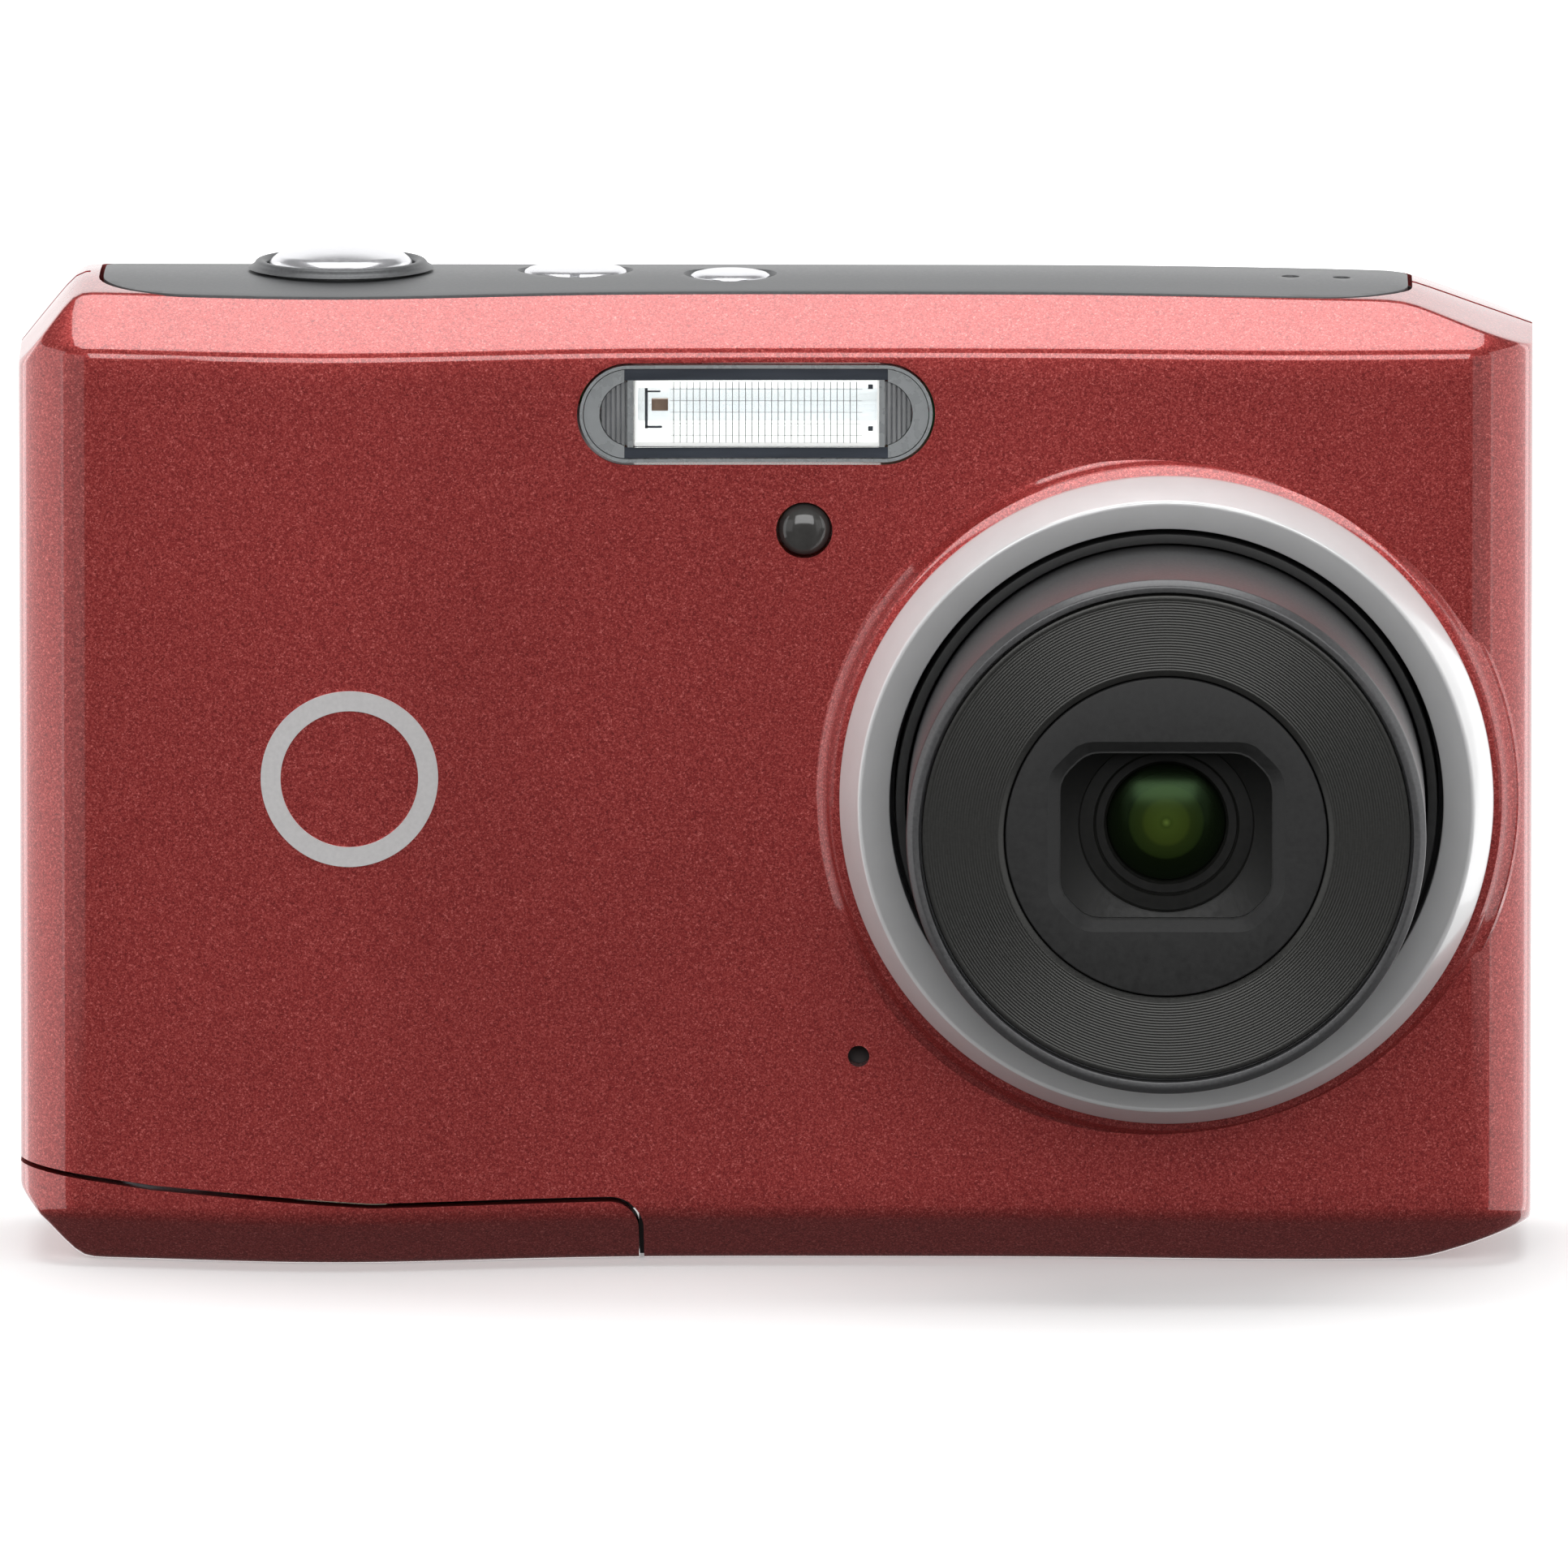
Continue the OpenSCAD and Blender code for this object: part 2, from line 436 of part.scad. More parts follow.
module battery_door() {
  color([0.57, 0.2, 0.2]) difference() {
    union() {
      intersection() { walls(); xz(-30, 6.9) polygon(door_pts(gap)); }
      xcyl(hinge_y, hinge_z, 1.2, -36.8, -15.2);
      box(-36.8, -15.2, 6.4, 8.5, 0.26, 1.45);
    }
    xcyl(hinge_y, hinge_z, 0.65, -40, -12);
  }
}
module door_contacts() {
  color([0.8, 0.72, 0.45]) union() {
    box(-39.6, -14, -6.4, 3.5, 1.6, 2);
    for (x = cell_x) translate([x, cell_y, 0]) rotate_extrude() polygon([[2.4, 1.9], [1.6, 4.2], [2.1, 4.2], [3.3, 1.9]]);
  }
}
module door_hinge_pin() { color([0.8, 0.8, 0.82]) xcyl(hinge_y, hinge_z, 0.6, -41, -8.9); }
module card_socket() {
  color([0.75, 0.76, 0.77]) union() { box(-41, -40.45, 5.15, 7.6, 8, 46); box(-16.15, -15.6, 5.15, 7.6, 8, 46);
    box(-41, -15.6, 5.15, 7.6, 45.6, 46); box(-41, -15.6, 7.4, 7.6, 8, 46); }
}
module memory_card() { color([0.1, 0.15, 0.3]) xz(5.2, 7.3) polygon([[-40.3, 9], [-16.3, 9], [-16.3, 41], [-36.3, 41], [-40.3, 37]]); }
module tripod_socket() {
  color([0.8, 0.8, 0.8]) difference() { union() { zcyl(0, 0, 4.6, 0, 7); zcyl(0, 0, 5.9, 1.6, 2.6); } zcyl(0, 0, 3.175, -1, 5.5); }
}
module case_screws() {
  color([0.25, 0.25, 0.26]) union() {
    for (x = [12, 38]) { zcyl(x, 5.5, 0.8, 0.5, 4.5); difference() { zcyl(x, 5.5, 1.4, 0.1, 0.65);
      box(x - 0.9, x + 0.9, 5.35, 5.65, 0, 0.35); box(x - 0.15, x + 0.15, 4.6, 6.4, 0, 0.35); } }
    for (z = [12, 30]) { xcyl(4, z, 0.8, 42, 45.2); difference() { xcyl(4, z, 1.4, 45.1, 45.65);
      box(45.4, 46, 3.1, 4.9, z - 0.15, z + 0.15); box(45.4, 46, 3.85, 4.15, z - 0.9, z + 0.9); } }
  }
}
module strap_lug() { color([0.75, 0.75, 0.76]) zcyl(-44.7, 5.4, 0.8, 43.5, 50.5); }
module port_cover() {
  color([0.2, 0.2, 0.2]) union() {
    box(44.5, 45.7, 1.95, 6.25, 39.4, 51.9);
    box(44.5, 45.3, 1.95, 6.25, 38.6, 39.5);
    translate([44.95, 1.3, 38.55]) rotate([-90, 0, 0]) cylinder(r = 0.3, h = 5.6);
    translate([44.95, 1.95, 38.55]) rotate([-90, 0, 0]) cylinder(r = 0.6, h = 4.3);
  }
}
module usb_connector() {
  color([0.78, 0.78, 0.79]) difference() { box(37.2, 44.2, 2.1, 5.1, 42.4, 50); box(39, 45, 2.5, 4.7, 42.8, 49.6); }
}

front_shell();
rear_shell();
top_plate();
shutter_collar();
shutter_button();
shutter_spring();
power_button();
mode_button();
top_switch_board();
speaker();
flash_window();
flash_reflector();
flash_tube();
flash_capacitor();
af_lamp_window();
af_lamp_led();
microphone();
badge();
lens_ring();
lens_base();
cam_barrel();
front_barrel();
name_ring();
barrier_cover();
barrier_blade_upper();
barrier_blade_lower();
front_lens_cell();
front_lens();
rear_lens_cell();
rear_lens();
focus_guide_rods();
sensor_board();
zoom_motor();
drive_gear();
chassis();
main_board();
lcd_window();
lcd_panel();
zoom_rocker();
play_button();
record_button();
menu_button();
delete_button();
pad_pivot();
four_way_pad();
set_button();
rear_key_board();
battery_holder();
battery_cells();
battery_contacts();
battery_door();
door_contacts();
door_hinge_pin();
card_socket();
memory_card();
tripod_socket();
case_screws();
strap_lug();
port_cover();
usb_connector();
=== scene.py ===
import bpy, bmesh, math
from mathutils import Vector, Matrix, Euler


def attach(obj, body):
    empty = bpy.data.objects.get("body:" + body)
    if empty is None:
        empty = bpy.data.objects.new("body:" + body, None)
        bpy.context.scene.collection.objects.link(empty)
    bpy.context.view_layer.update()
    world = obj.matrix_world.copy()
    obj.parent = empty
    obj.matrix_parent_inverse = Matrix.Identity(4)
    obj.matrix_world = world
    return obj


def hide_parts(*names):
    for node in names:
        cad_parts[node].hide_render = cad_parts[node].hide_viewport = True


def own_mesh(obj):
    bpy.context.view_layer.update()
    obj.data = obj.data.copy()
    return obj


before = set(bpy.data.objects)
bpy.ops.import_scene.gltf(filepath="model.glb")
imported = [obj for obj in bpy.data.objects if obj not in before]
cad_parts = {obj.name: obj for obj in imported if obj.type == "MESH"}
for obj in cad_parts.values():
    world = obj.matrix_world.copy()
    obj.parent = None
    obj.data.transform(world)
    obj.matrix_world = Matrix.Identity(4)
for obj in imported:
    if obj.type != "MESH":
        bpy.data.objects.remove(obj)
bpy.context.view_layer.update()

MM = 0.001
D = bpy.data
scene = bpy.context.scene
ROOT = "camera_body"

# ------------------------------------------------------------------ outline
HW, BH = 45.75, 59.0
FY, RY, PY = -10.0, 9.9, 1.0
WALL = 1.5
XL, XR = -40.7, 38.2
LX, LZ, LF = 23.65, 28.8, 27.2
PLZ = 57.8


def bump(x, c, s): return math.exp(-((x - c) / s) ** 2)
def turn(x, r): return r - math.sqrt(max(0.0, r * r - (abs(x) - HW + r) ** 2)) if abs(x) > HW - r else 0.0
def soft(d, k): return math.log1p(math.exp(max(-30, min(30, d / k)))) * k
def yf(x): return FY - 2.8 * bump(x, -27, 12.5) - 0.9 * bump(x, 31, 10) + turn(x, 4.5)
def yr(x): return RY - turn(x, 3)
def zt(x): return (BH - 4.4 / 3.55 * soft(-HW + 3.45 - x, 0.28) - 0.33 * (max(0.0, min(x, 37.9) - 14) / 23.9) ** 2
                   - 2.8 / 7.85 * soft(x - HW + 7.75, 0.45))
def zb(x): return 4.5 / 3.85 * soft(-HW + 3.75 - x, 0.3) + 2.5 / 6.75 * soft(x - HW + 6.6, 0.5)


def ft(x): return min(BH - 3.1, zt(x) - 0.3)
def fb(x): return max(3.2, zb(x) + 0.3)


def rounded(pts, rads, k=5):
    """Closed outline with each corner replaced by a short curve of k points."""
    out = []
    n = len(pts)
    for i in range(n):
        p, a, b = Vector(pts[i]), Vector(pts[i - 1]), Vector(pts[(i + 1) % n])
        da, db = a - p, b - p
        d = min(rads[i], 0.46 * da.length, 0.46 * db.length)
        p0, p2 = p + da.normalized() * d, p + db.normalized() * d
        for j in range(k):
            t = j / (k - 1)
            out.append(p0 * (1 - t) ** 2 + p * 2 * t * (1 - t) + p2 * t * t)
    return out


def densify(ring, steps):
    """Adds points on the stretches named in steps: {index of the corner curve's end: number of extra points}."""
    out = []
    for i, p in enumerate(ring):
        out.append(p)
        m = steps.get(i, 0)
        q = ring[(i + 1) % len(ring)]
        for j in range(m):
            out.append(p.lerp(q, (j + 1) / (m + 1)))
    return out


def sec_out(x):
    f, r, t, b = yf(x), yr(x), zt(x), zb(x)
    pts = [(f, fb(x)), (f, ft(x)), (f + 3.9 * (t - ft(x)) / 3.1, t), ((f + r) / 2, t + 0.45), (r - 3, t), (r - 0.9, t - 0.9),
           (r, t - 3), (r, b + 1.5), (r - 1.5, b), (f + 3.6 * (fb(x) - b) / 3.2, b)]
    rads = [0.55, 0.5, 0.35, 4.0, 1.4, 1.2, 1.2, 0.8, 0.8, 0.6]
    ring = rounded(pts, rads)
    # long flats: front face, top, rear face, bottom, and the two bevels
    return densify(ring, {4: 34, 9: 3, 14: 3, 19: 3, 34: 30, 44: 8, 49: 3})


def sec_in(x):
    f, r, t, b = yf(x), yr(x), zt(x), zb(x)
    q = x * (HW - WALL) / HW
    top = 1.9 if (x < -41.2 or x > 38.7) else 2.7
    return q, [Vector(p) for p in [(f + WALL, b + 3.7), (f + WALL, t - 4.2), (f + 4.5, t - top), (r - 3.2, t - top),
                                   (r - WALL, t - 4.4), (r - WALL, b + 2.1), (r - 2.1, b + WALL), (f + 4.2, b + WALL)]]


def stations():
    xs = []
    for i in range(13):
        a = i / 12 * math.pi / 2
        xs.append(-HW + 4.5 * (1 - math.cos(a)))
    n = 96
    for i in range(1, n):
        xs.append(-HW + 4.5 + (2 * HW - 9) * i / n)
    for i in range(13):
        a = (12 - i) / 12 * math.pi / 2
        xs.append(HW - 4.5 * (1 - math.cos(a)))
    return xs


# ------------------------------------------------------------------ mesh helpers
def obj_from(name, verts, faces, scale=MM):
    me = D.meshes.new(name)
    me.from_pydata([[c * scale for c in v] for v in verts], [], faces)
    me.validate()
    me.update()
    o = D.objects.new(name, me)
    scene.collection.objects.link(o)
    return o


def fix_normals(o):
    bm = bmesh.new(); bm.from_mesh(o.data)
    bmesh.ops.recalc_face_normals(bm, faces=bm.faces)
    bm.to_mesh(o.data); bm.free()
    return o


def loft(name, rings):
    """rings of (x, [(y, z)...]), capped at both ends."""
    m = len(rings[0][1])
    v = [(x, p[0], p[1]) for x, r in rings for p in r]
    f = []
    for i in range(len(rings) - 1):
        for j in range(m):
            k = (j + 1) % m
            f.append((i * m + j, (i + 1) * m + j, (i + 1) * m + k, i * m + k))
    f.append(tuple(range(m)))
    e = (len(rings) - 1) * m
    f.append(tuple(e + j for j in reversed(range(m))))
    return fix_normals(obj_from(name, v, f))


def prism(name, poly, a, b, axis="y", holes=()):
    """An extruded outline. poly is in (x, z) for axis y, (x, y) for axis z and (y, z) for axis x."""
    put = {"y": lambda p, h: (p[0], h, p[1]), "z": lambda p, h: (p[0], p[1], h), "x": lambda p, h: (h, p[0], p[1])}[axis]
    n = len(poly)
    v = [put(p, a) for p in poly] + [put(p, b) for p in poly]
    f = [tuple(range(n)), tuple(n + i for i in reversed(range(n)))]
    f += [(i, i + n, (i + 1) % n + n, (i + 1) % n) for i in range(n)]
    return fix_normals(obj_from(name, v, f))


def circle(r, n=64, c=(0, 0), start=0.0):
    return [(c[0] + r * math.cos(start + 2 * math.pi * i / n), c[1] + r * math.sin(start + 2 * math.pi * i / n)) for i in range(n)]


def pill(w, h, c=(0, 0), n=28):
    r = h / 2
    out = []
    for s, a0 in ((1, -90), (-1, 90)):
        for i in range(n + 1):
            a = math.radians(a0 + 180 * i / n)
            out.append((c[0] + s * (w / 2 - r) + r * math.cos(a), c[1] + r * math.sin(a)))
    return out


def rrect(w, h, r, c=(0, 0), n=10):
    out = []
    for sx, sy, a0 in ((1, 1, 0), (-1, 1, 90), (-1, -1, 180), (1, -1, 270)):
        for i in range(n + 1):
            a = math.radians(a0 + 90 * i / n)
            out.append((c[0] + sx * (w / 2 - r) + r * math.cos(a), c[1] + sy * (h / 2 - r) + r * math.sin(a)))
    return out


def lathe(name, prof, frame_="lens", n=160, closed=True, centre=None):
    """Turns (radius, height) points. frame_ lens: height runs towards -Y from the socket plane; top: height is Z;
    back: height is Y; side: height is X."""
    v, f = [], []
    m = len(prof)
    c = centre
    def put(r, h, a):
        u, w = r * math.cos(a), r * math.sin(a)
        if frame_ == "lens":
            cc = c or (LX, LZ)
            return (cc[0] + u, -h, cc[1] + w)
        if frame_ == "top":
            return (c[0] + u, c[1] + w, h)
        if frame_ == "back":
            return (c[0] + u, h, c[1] + w)
        return (h, c[0] + u, c[1] + w)
    idx = []
    for j, (r, h) in enumerate(prof):
        if r < 1e-6:
            v.append(put(0, h, 0)); idx.append([len(v) - 1] * n)
        else:
            row = []
            for i in range(n):
                v.append(put(r, h, 2 * math.pi * i / n)); row.append(len(v) - 1)
            idx.append(row)
    last = m if closed else m - 1
    for j in range(last):
        a, b = idx[j], idx[(j + 1) % m]
        for i in range(n):
            k = (i + 1) % n
            q = [a[i], a[k], b[k], b[i]]
            u = []
            for t in q:
                if t not in u:
                    u.append(t)
            if len(u) > 2:
                f.append(tuple(u))
    return fix_normals(obj_from(name, v, f))


def smooth_profile(pts, rads, k=4):
    """Rounds the corners of a closed (radius, height) outline."""
    return [tuple(p) for p in rounded(pts, rads if isinstance(rads, list) else [rads] * len(pts), k)]


def bake_mods(o):
    dg = bpy.context.evaluated_depsgraph_get()
    me = D.meshes.new_from_object(o.evaluated_get(dg))
    old = o.data
    o.modifiers.clear()
    o.data = me
    D.meshes.remove(old)
    return o


def boolean(o, cutter, op="DIFFERENCE", keep=False):
    m = o.modifiers.new("cut", "BOOLEAN")
    m.object = cutter; m.operation = op; m.solver = "EXACT"
    bake_mods(o)
    if not keep:
        D.objects.remove(cutter)
    return o


def copy(o, name):
    c = o.copy(); c.data = o.data.copy(); c.name = name
    scene.collection.objects.link(c)
    return c


def boxo(name, x0, x1, y0, y1, z0, z1):
    return prism(name, [(x0, z0), (x1, z0), (x1, z1), (x0, z1)], y0, y1)


def shade(o, angle=32):
    me = o.data
    for p in me.polygons:
        p.use_smooth = True
    bm = bmesh.new(); bm.from_mesh(me)
    lim = math.radians(angle)
    for e in bm.edges:
        if len(e.link_faces) == 2 and e.calc_face_angle(0) > lim:
            e.smooth = False
    bm.to_mesh(me); bm.free()
    return o


def bevel(o, w, seg=3, angle=35):
    m = o.modifiers.new("edge", "BEVEL")
    m.width = w * MM; m.segments = seg; m.limit_method = "ANGLE"; m.angle_limit = math.radians(angle)
    m.harden_normals = False
    bake_mods(o)
    return o


def join(name, objs):
    bm = bmesh.new()
    for o in objs:
        bm.from_mesh(o.data)
    me = D.meshes.new(name); bm.to_mesh(me); bm.free()
    for o in objs:
        D.objects.remove(o)
    r = D.objects.new(name, me); scene.collection.objects.link(r)
    return r


def join_mats(name, pairs):
    """One object from (object, material) pairs, each part keeping its own material."""
    mats = []
    bm = bmesh.new()
    for o, m in pairs:
        if m not in mats:
            mats.append(m)
        for p in o.data.polygons:
            p.material_index = mats.index(m)
        bm.from_mesh(o.data)
    me = D.meshes.new(name); bm.to_mesh(me); bm.free()
    for o, m in pairs:
        D.objects.remove(o)
    r = D.objects.new(name, me); scene.collection.objects.link(r)
    for m in mats:
        r.data.materials.append(m)
    return r


def placed(o, body, nodes):
    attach(o, body)
    if nodes:
        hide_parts(*([nodes] if isinstance(nodes, str) else nodes))
    return o


def done(o, body, nodes, material):
    """Gives a piece its material and body, and lets it stand for its CAD nodes."""
    o.data.materials.clear(); o.data.materials.append(material)
    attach(o, body)
    if nodes:
        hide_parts(*([nodes] if isinstance(nodes, str) else nodes))
    return o


# ------------------------------------------------------------------ materials
def new_mat(name):
    m = D.materials.new(name); m.use_nodes = True
    nt = m.node_tree; nt.nodes.clear()
    out = nt.nodes.new("ShaderNodeOutputMaterial")
    b = nt.nodes.new("ShaderNodeBsdfPrincipled")
    nt.links.new(b.outputs[0], out.inputs[0])
    return m, nt, b


def tex(nt, kind, scale, detail=2.0, rough=0.5, stretch=None, **kw):
    co = nt.nodes.new("ShaderNodeTexCoord")
    src = co.outputs["Object"]
    if stretch:
        mp = nt.nodes.new("ShaderNodeMapping"); mp.inputs["Scale"].default_value = stretch
        nt.links.new(src, mp.inputs[0]); src = mp.outputs[0]
    t = nt.nodes.new("ShaderNodeTexNoise" if kind == "noise" else "ShaderNodeTexVoronoi")
    t.inputs["Scale"].default_value = scale
    if kind == "noise":
        t.inputs["Detail"].default_value = detail
        t.inputs["Roughness"].default_value = rough
    nt.links.new(src, t.inputs["Vector"])
    return t


def ramp(nt, src, stops):
    r = nt.nodes.new("ShaderNodeValToRGB")
    e = r.color_ramp.elements
    while len(e) > 1:
        e.remove(e[-1])
    e[0].position = stops[0][0]; e[0].color = (*stops[0][1], 1)
    for p, c in stops[1:]:
        q = e.new(p); q.color = (*c, 1)
    nt.links.new(src, r.inputs[0])
    return r.outputs[0]


def rng(nt, src, a, b, lo=0.3, hi=0.7):
    m = nt.nodes.new("ShaderNodeMapRange")
    m.inputs[1].default_value, m.inputs[2].default_value = lo, hi
    m.inputs[3].default_value, m.inputs[4].default_value = a, b
    nt.links.new(src, m.inputs[0])
    return m.outputs[0]


def add_bump(nt, b, src, strength, dist):
    bp = nt.nodes.new("ShaderNodeBump")
    bp.inputs["Strength"].default_value = strength
    bp.inputs["Distance"].default_value = dist
    nt.links.new(src, bp.inputs["Height"])
    nt.links.new(bp.outputs[0], b.inputs["Normal"])
    return bp


def generic(name, c, metallic=0.0, rough=0.45, var=0.12, scale=900, bumps=0.15, bscale=2500, dist=0.00002,
            coat=0.0, coat_rough=0.1, spec=None, stretch=None, ior=None, sheen=0.0):
    m, nt, b = new_mat(name)
    n = tex(nt, "noise", scale, 4.0, stretch=stretch)
    lo = tuple(max(0, x * (1 - var)) for x in c); hi = tuple(min(1, x * (1 + var)) for x in c)
    nt.links.new(ramp(nt, n.outputs[0], [(0.3, lo), (0.7, hi)]), b.inputs["Base Color"])
    b.inputs["Metallic"].default_value = metallic
    nt.links.new(rng(nt, n.outputs[0], rough * 0.88, rough * 1.12), b.inputs["Roughness"])
    if bumps:
        n2 = tex(nt, "noise", bscale, 3.0, stretch=stretch)
        add_bump(nt, b, n2.outputs[0], bumps, dist)
    if coat:
        b.inputs["Coat Weight"].default_value = coat
        b.inputs["Coat Roughness"].default_value = coat_rough
    if spec is not None:
        b.inputs["Specular IOR Level"].default_value = spec
    if ior:
        b.inputs["IOR"].default_value = ior
    return m


def red_paint():
    m, nt, b = new_mat("red_metallic")
    fl = tex(nt, "voronoi", 13000)                    # flakes, about 0.08 mm
    cloud = tex(nt, "noise", 5200, 4.0, 0.7)          # mottle of the paint
    big = tex(nt, "noise", 60, 2.0)
    mixf = nt.nodes.new("ShaderNodeMath"); mixf.operation = "MULTIPLY_ADD"
    sep = nt.nodes.new("ShaderNodeSeparateColor")
    nt.links.new(fl.outputs["Color"], sep.inputs[0])
    nt.links.new(sep.outputs[0], mixf.inputs[0]); mixf.inputs[1].default_value = 0.6
    nt.links.new(rng(nt, cloud.outputs[0], 0.0, 0.4), mixf.inputs[2])
    col = ramp(nt, mixf.outputs[0], [(0.05, (0.20, 0.016, 0.016)), (0.45, (0.42, 0.040, 0.038)), (0.75, (0.60, 0.090, 0.082)),
                                     (0.98, (0.92, 0.27, 0.24))])
    nt.links.new(col, b.inputs["Base Color"])
    b.inputs["Metallic"].default_value = 0.62
    nt.links.new(rng(nt, big.outputs[0], 0.36, 0.42), b.inputs["Roughness"])
    b.inputs["Coat Weight"].default_value = 1.0
    b.inputs["Coat Roughness"].default_value = 0.06
    b.inputs["Coat IOR"].default_value = 1.7
    b.inputs["Specular IOR Level"].default_value = 0.3
    add_bump(nt, b, mixf.outputs[0], 0.25, 0.00003)
    return m


def clear(name, c, rough=0.02, trans=1.0, ior=1.49, bumps=0.02):
    m, nt, b = new_mat(name)
    n = tex(nt, "noise", 400, 2.0)
    nt.links.new(ramp(nt, n.outputs[0], [(0.3, tuple(x * 0.98 for x in c)), (0.7, c)]), b.inputs["Base Color"])
    nt.links.new(rng(nt, n.outputs[0], rough, rough + 0.02), b.inputs["Roughness"])
    b.inputs["Transmission Weight"].default_value = trans
    b.inputs["IOR"].default_value = ior
    add_bump(nt, b, n.outputs[0], bumps, 0.00001)
    return m


RED = red_paint()
TOPM = generic("top_satin", (0.122, 0.125, 0.129), 0.35, 0.40, 0.16, 5200, 0.2, 7000, 0.00002)
CHROME = generic("ring_chrome", (0.96, 0.96, 0.965), 0.12, 0.2, 0.02, 500, 0.01, 2500, coat=0.6, coat_rough=0.05)
BUTTON = generic("button_satin", (0.84, 0.84, 0.87), 0.75, 0.24, 0.02, 2500, 0.01, 6000)
BARREL = generic("barrel_satin", (0.125, 0.125, 0.128), 0.5, 0.38, 0.12, 5200, 0.14, 7500, 0.00002)
RINGD = generic("ring_dark", (0.055, 0.055, 0.052), 0.5, 0.36, 0.12, 5200, 0.15, 8000)
BLACK = generic("black_moulded", (0.022, 0.022, 0.022), 0.0, 0.5, 0.2, 3000, 0.2, 5000)
CELLB = generic("cell_black", (0.009, 0.009, 0.008), 0.0, 0.42, 0.2, 3000, 0.15, 5000, spec=0.35)
BLADE = generic("blade_matt", (0.03, 0.03, 0.03), 0.4, 0.5, 0.2, 3000, 0.15, 5000)
STEEL = generic("steel_plain", (0.62, 0.62, 0.64), 1.0, 0.3, 0.06, 900, 0.08, 4000, stretch=(1, 1, 6))
BRASS = generic("contact_brass", (0.75, 0.6, 0.32), 1.0, 0.28, 0.06, 900, 0.05, 3000)
BOARD = generic("board_green", (0.03, 0.18, 0.07), 0.0, 0.35, 0.25, 1500, 0.25, 1800, 0.00004)
KEY = generic("key_grey", (0.10, 0.10, 0.105), 0.0, 0.42, 0.12, 4000, 0.2, 6500)
MARK = generic("mark_light", (0.80, 0.78, 0.78), 0.2, 0.4, 0.04, 4000, 0.08, 6000)
GLOSS = generic("dark_gloss", (0.010, 0.011, 0.011), 0.0, 0.07, 0.2, 300, 0.0, coat=0.6, coat_rough=0.03)
LAMPD = generic("lamp_dome", (0.070, 0.068, 0.065), 0.0, 0.14, 0.2, 900, 0.03, 3000, coat=0.6, coat_rough=0.04)
SCREEN = generic("screen_off", (0.012, 0.014, 0.018), 0.0, 0.2, 0.2, 300, 0.0)
RUBBER = generic("rubber_dark", (0.035, 0.035, 0.036), 0.0, 0.6, 0.15, 3000, 0.3, 5000)
WHITE = generic("white_moulded", (0.78, 0.78, 0.74), 0.0, 0.4, 0.04, 900, 0.08, 3000)
CELL = generic("cell_sleeve", (0.55, 0.57, 0.6), 0.5, 0.25, 0.05, 400, 0.03, 2000, coat=0.5)
CARD = generic("card_blue", (0.03, 0.05, 0.16), 0.0, 0.4, 0.1, 1500, 0.15, 4000)
SCREWM = generic("screw_black", (0.08, 0.08, 0.085), 0.9, 0.35, 0.1, 1500, 0.1, 4000)
ORANGE = generic("lamp_orange", (0.85, 0.3, 0.05), 0.0, 0.15, 0.06, 900, 0.02, 2000)
MIRRORM = generic("flash_mirror", (0.93, 0.93, 0.92), 0.4, 0.2, 0.03, 900, 0.02, 2000)
RIMG = generic("flash_rim", (0.42, 0.44, 0.45), 0.2, 0.28, 0.05, 1500, 0.03, 4000, coat=0.5)
RIBS = generic("flash_ribs", (0.62, 0.63, 0.64), 0.7, 0.22, 0.08, 2500, 0.05, 4000, stretch=(1, 1, 0.15))
BARD = generic("flash_bars", (0.07, 0.08, 0.10), 0.2, 0.2, 0.2, 1500, 0.05, 4000, stretch=(0.1, 1, 1), coat=0.6)
GRID = generic("flash_grid", (0.30, 0.31, 0.33), 0.2, 0.3, 0.1, 1500, 0.0)
COPPER = generic("electrode", (0.45, 0.30, 0.22), 0.6, 0.35, 0.1, 2500, 0.05)
CLEARP = clear("flash_clear", (0.97, 0.98, 0.99), 0.03, 1.0, 1.49)
TUBEG = clear("tube_glass", (0.93, 0.97, 1.0), 0.02, 0.85, 1.46)
NODE_MATS = {
    "lens_base": BLACK, "focus_guide_rods": STEEL, "rear_lens_cell": BLACK, "sensor_board": BOARD, "zoom_motor": STEEL,
    "drive_gear": WHITE, "chassis": STEEL, "main_board": BOARD, "lcd_panel": SCREEN, "rear_key_board": BOARD,
    "battery_holder": BLACK, "battery_cells": CELL, "battery_contacts": BRASS, "door_contacts": BRASS,
    # painted shade: the microphone is black so that the hole in front of it reads dark
    "door_hinge_pin": STEEL, "card_socket": STEEL, "memory_card": CARD, "usb_connector": STEEL, "microphone": BLACK,
    "speaker": BLACK, "flash_capacitor": BLACK, "af_lamp_led": ORANGE, 
    "top_switch_board": BOARD, "pad_pivot": BLACK, "rear_lens": TUBEG, "flash_tube": TUBEG, "flash_reflector": MIRRORM,
    "tripod_socket": STEEL, "case_screws": SCREWM, "strap_lug": STEEL, "lens_ring": CHROME, "cam_barrel": BLACK,
}

# ------------------------------------------------------------------ shells
outer = loft("outer", [(x, sec_out(x)) for x in stations()])
inner = loft("inner", [sec_in(x) for x in stations()[::3] + [HW]])
envelope = copy(outer, "envelope")
walls = outer
boolean(walls, inner)


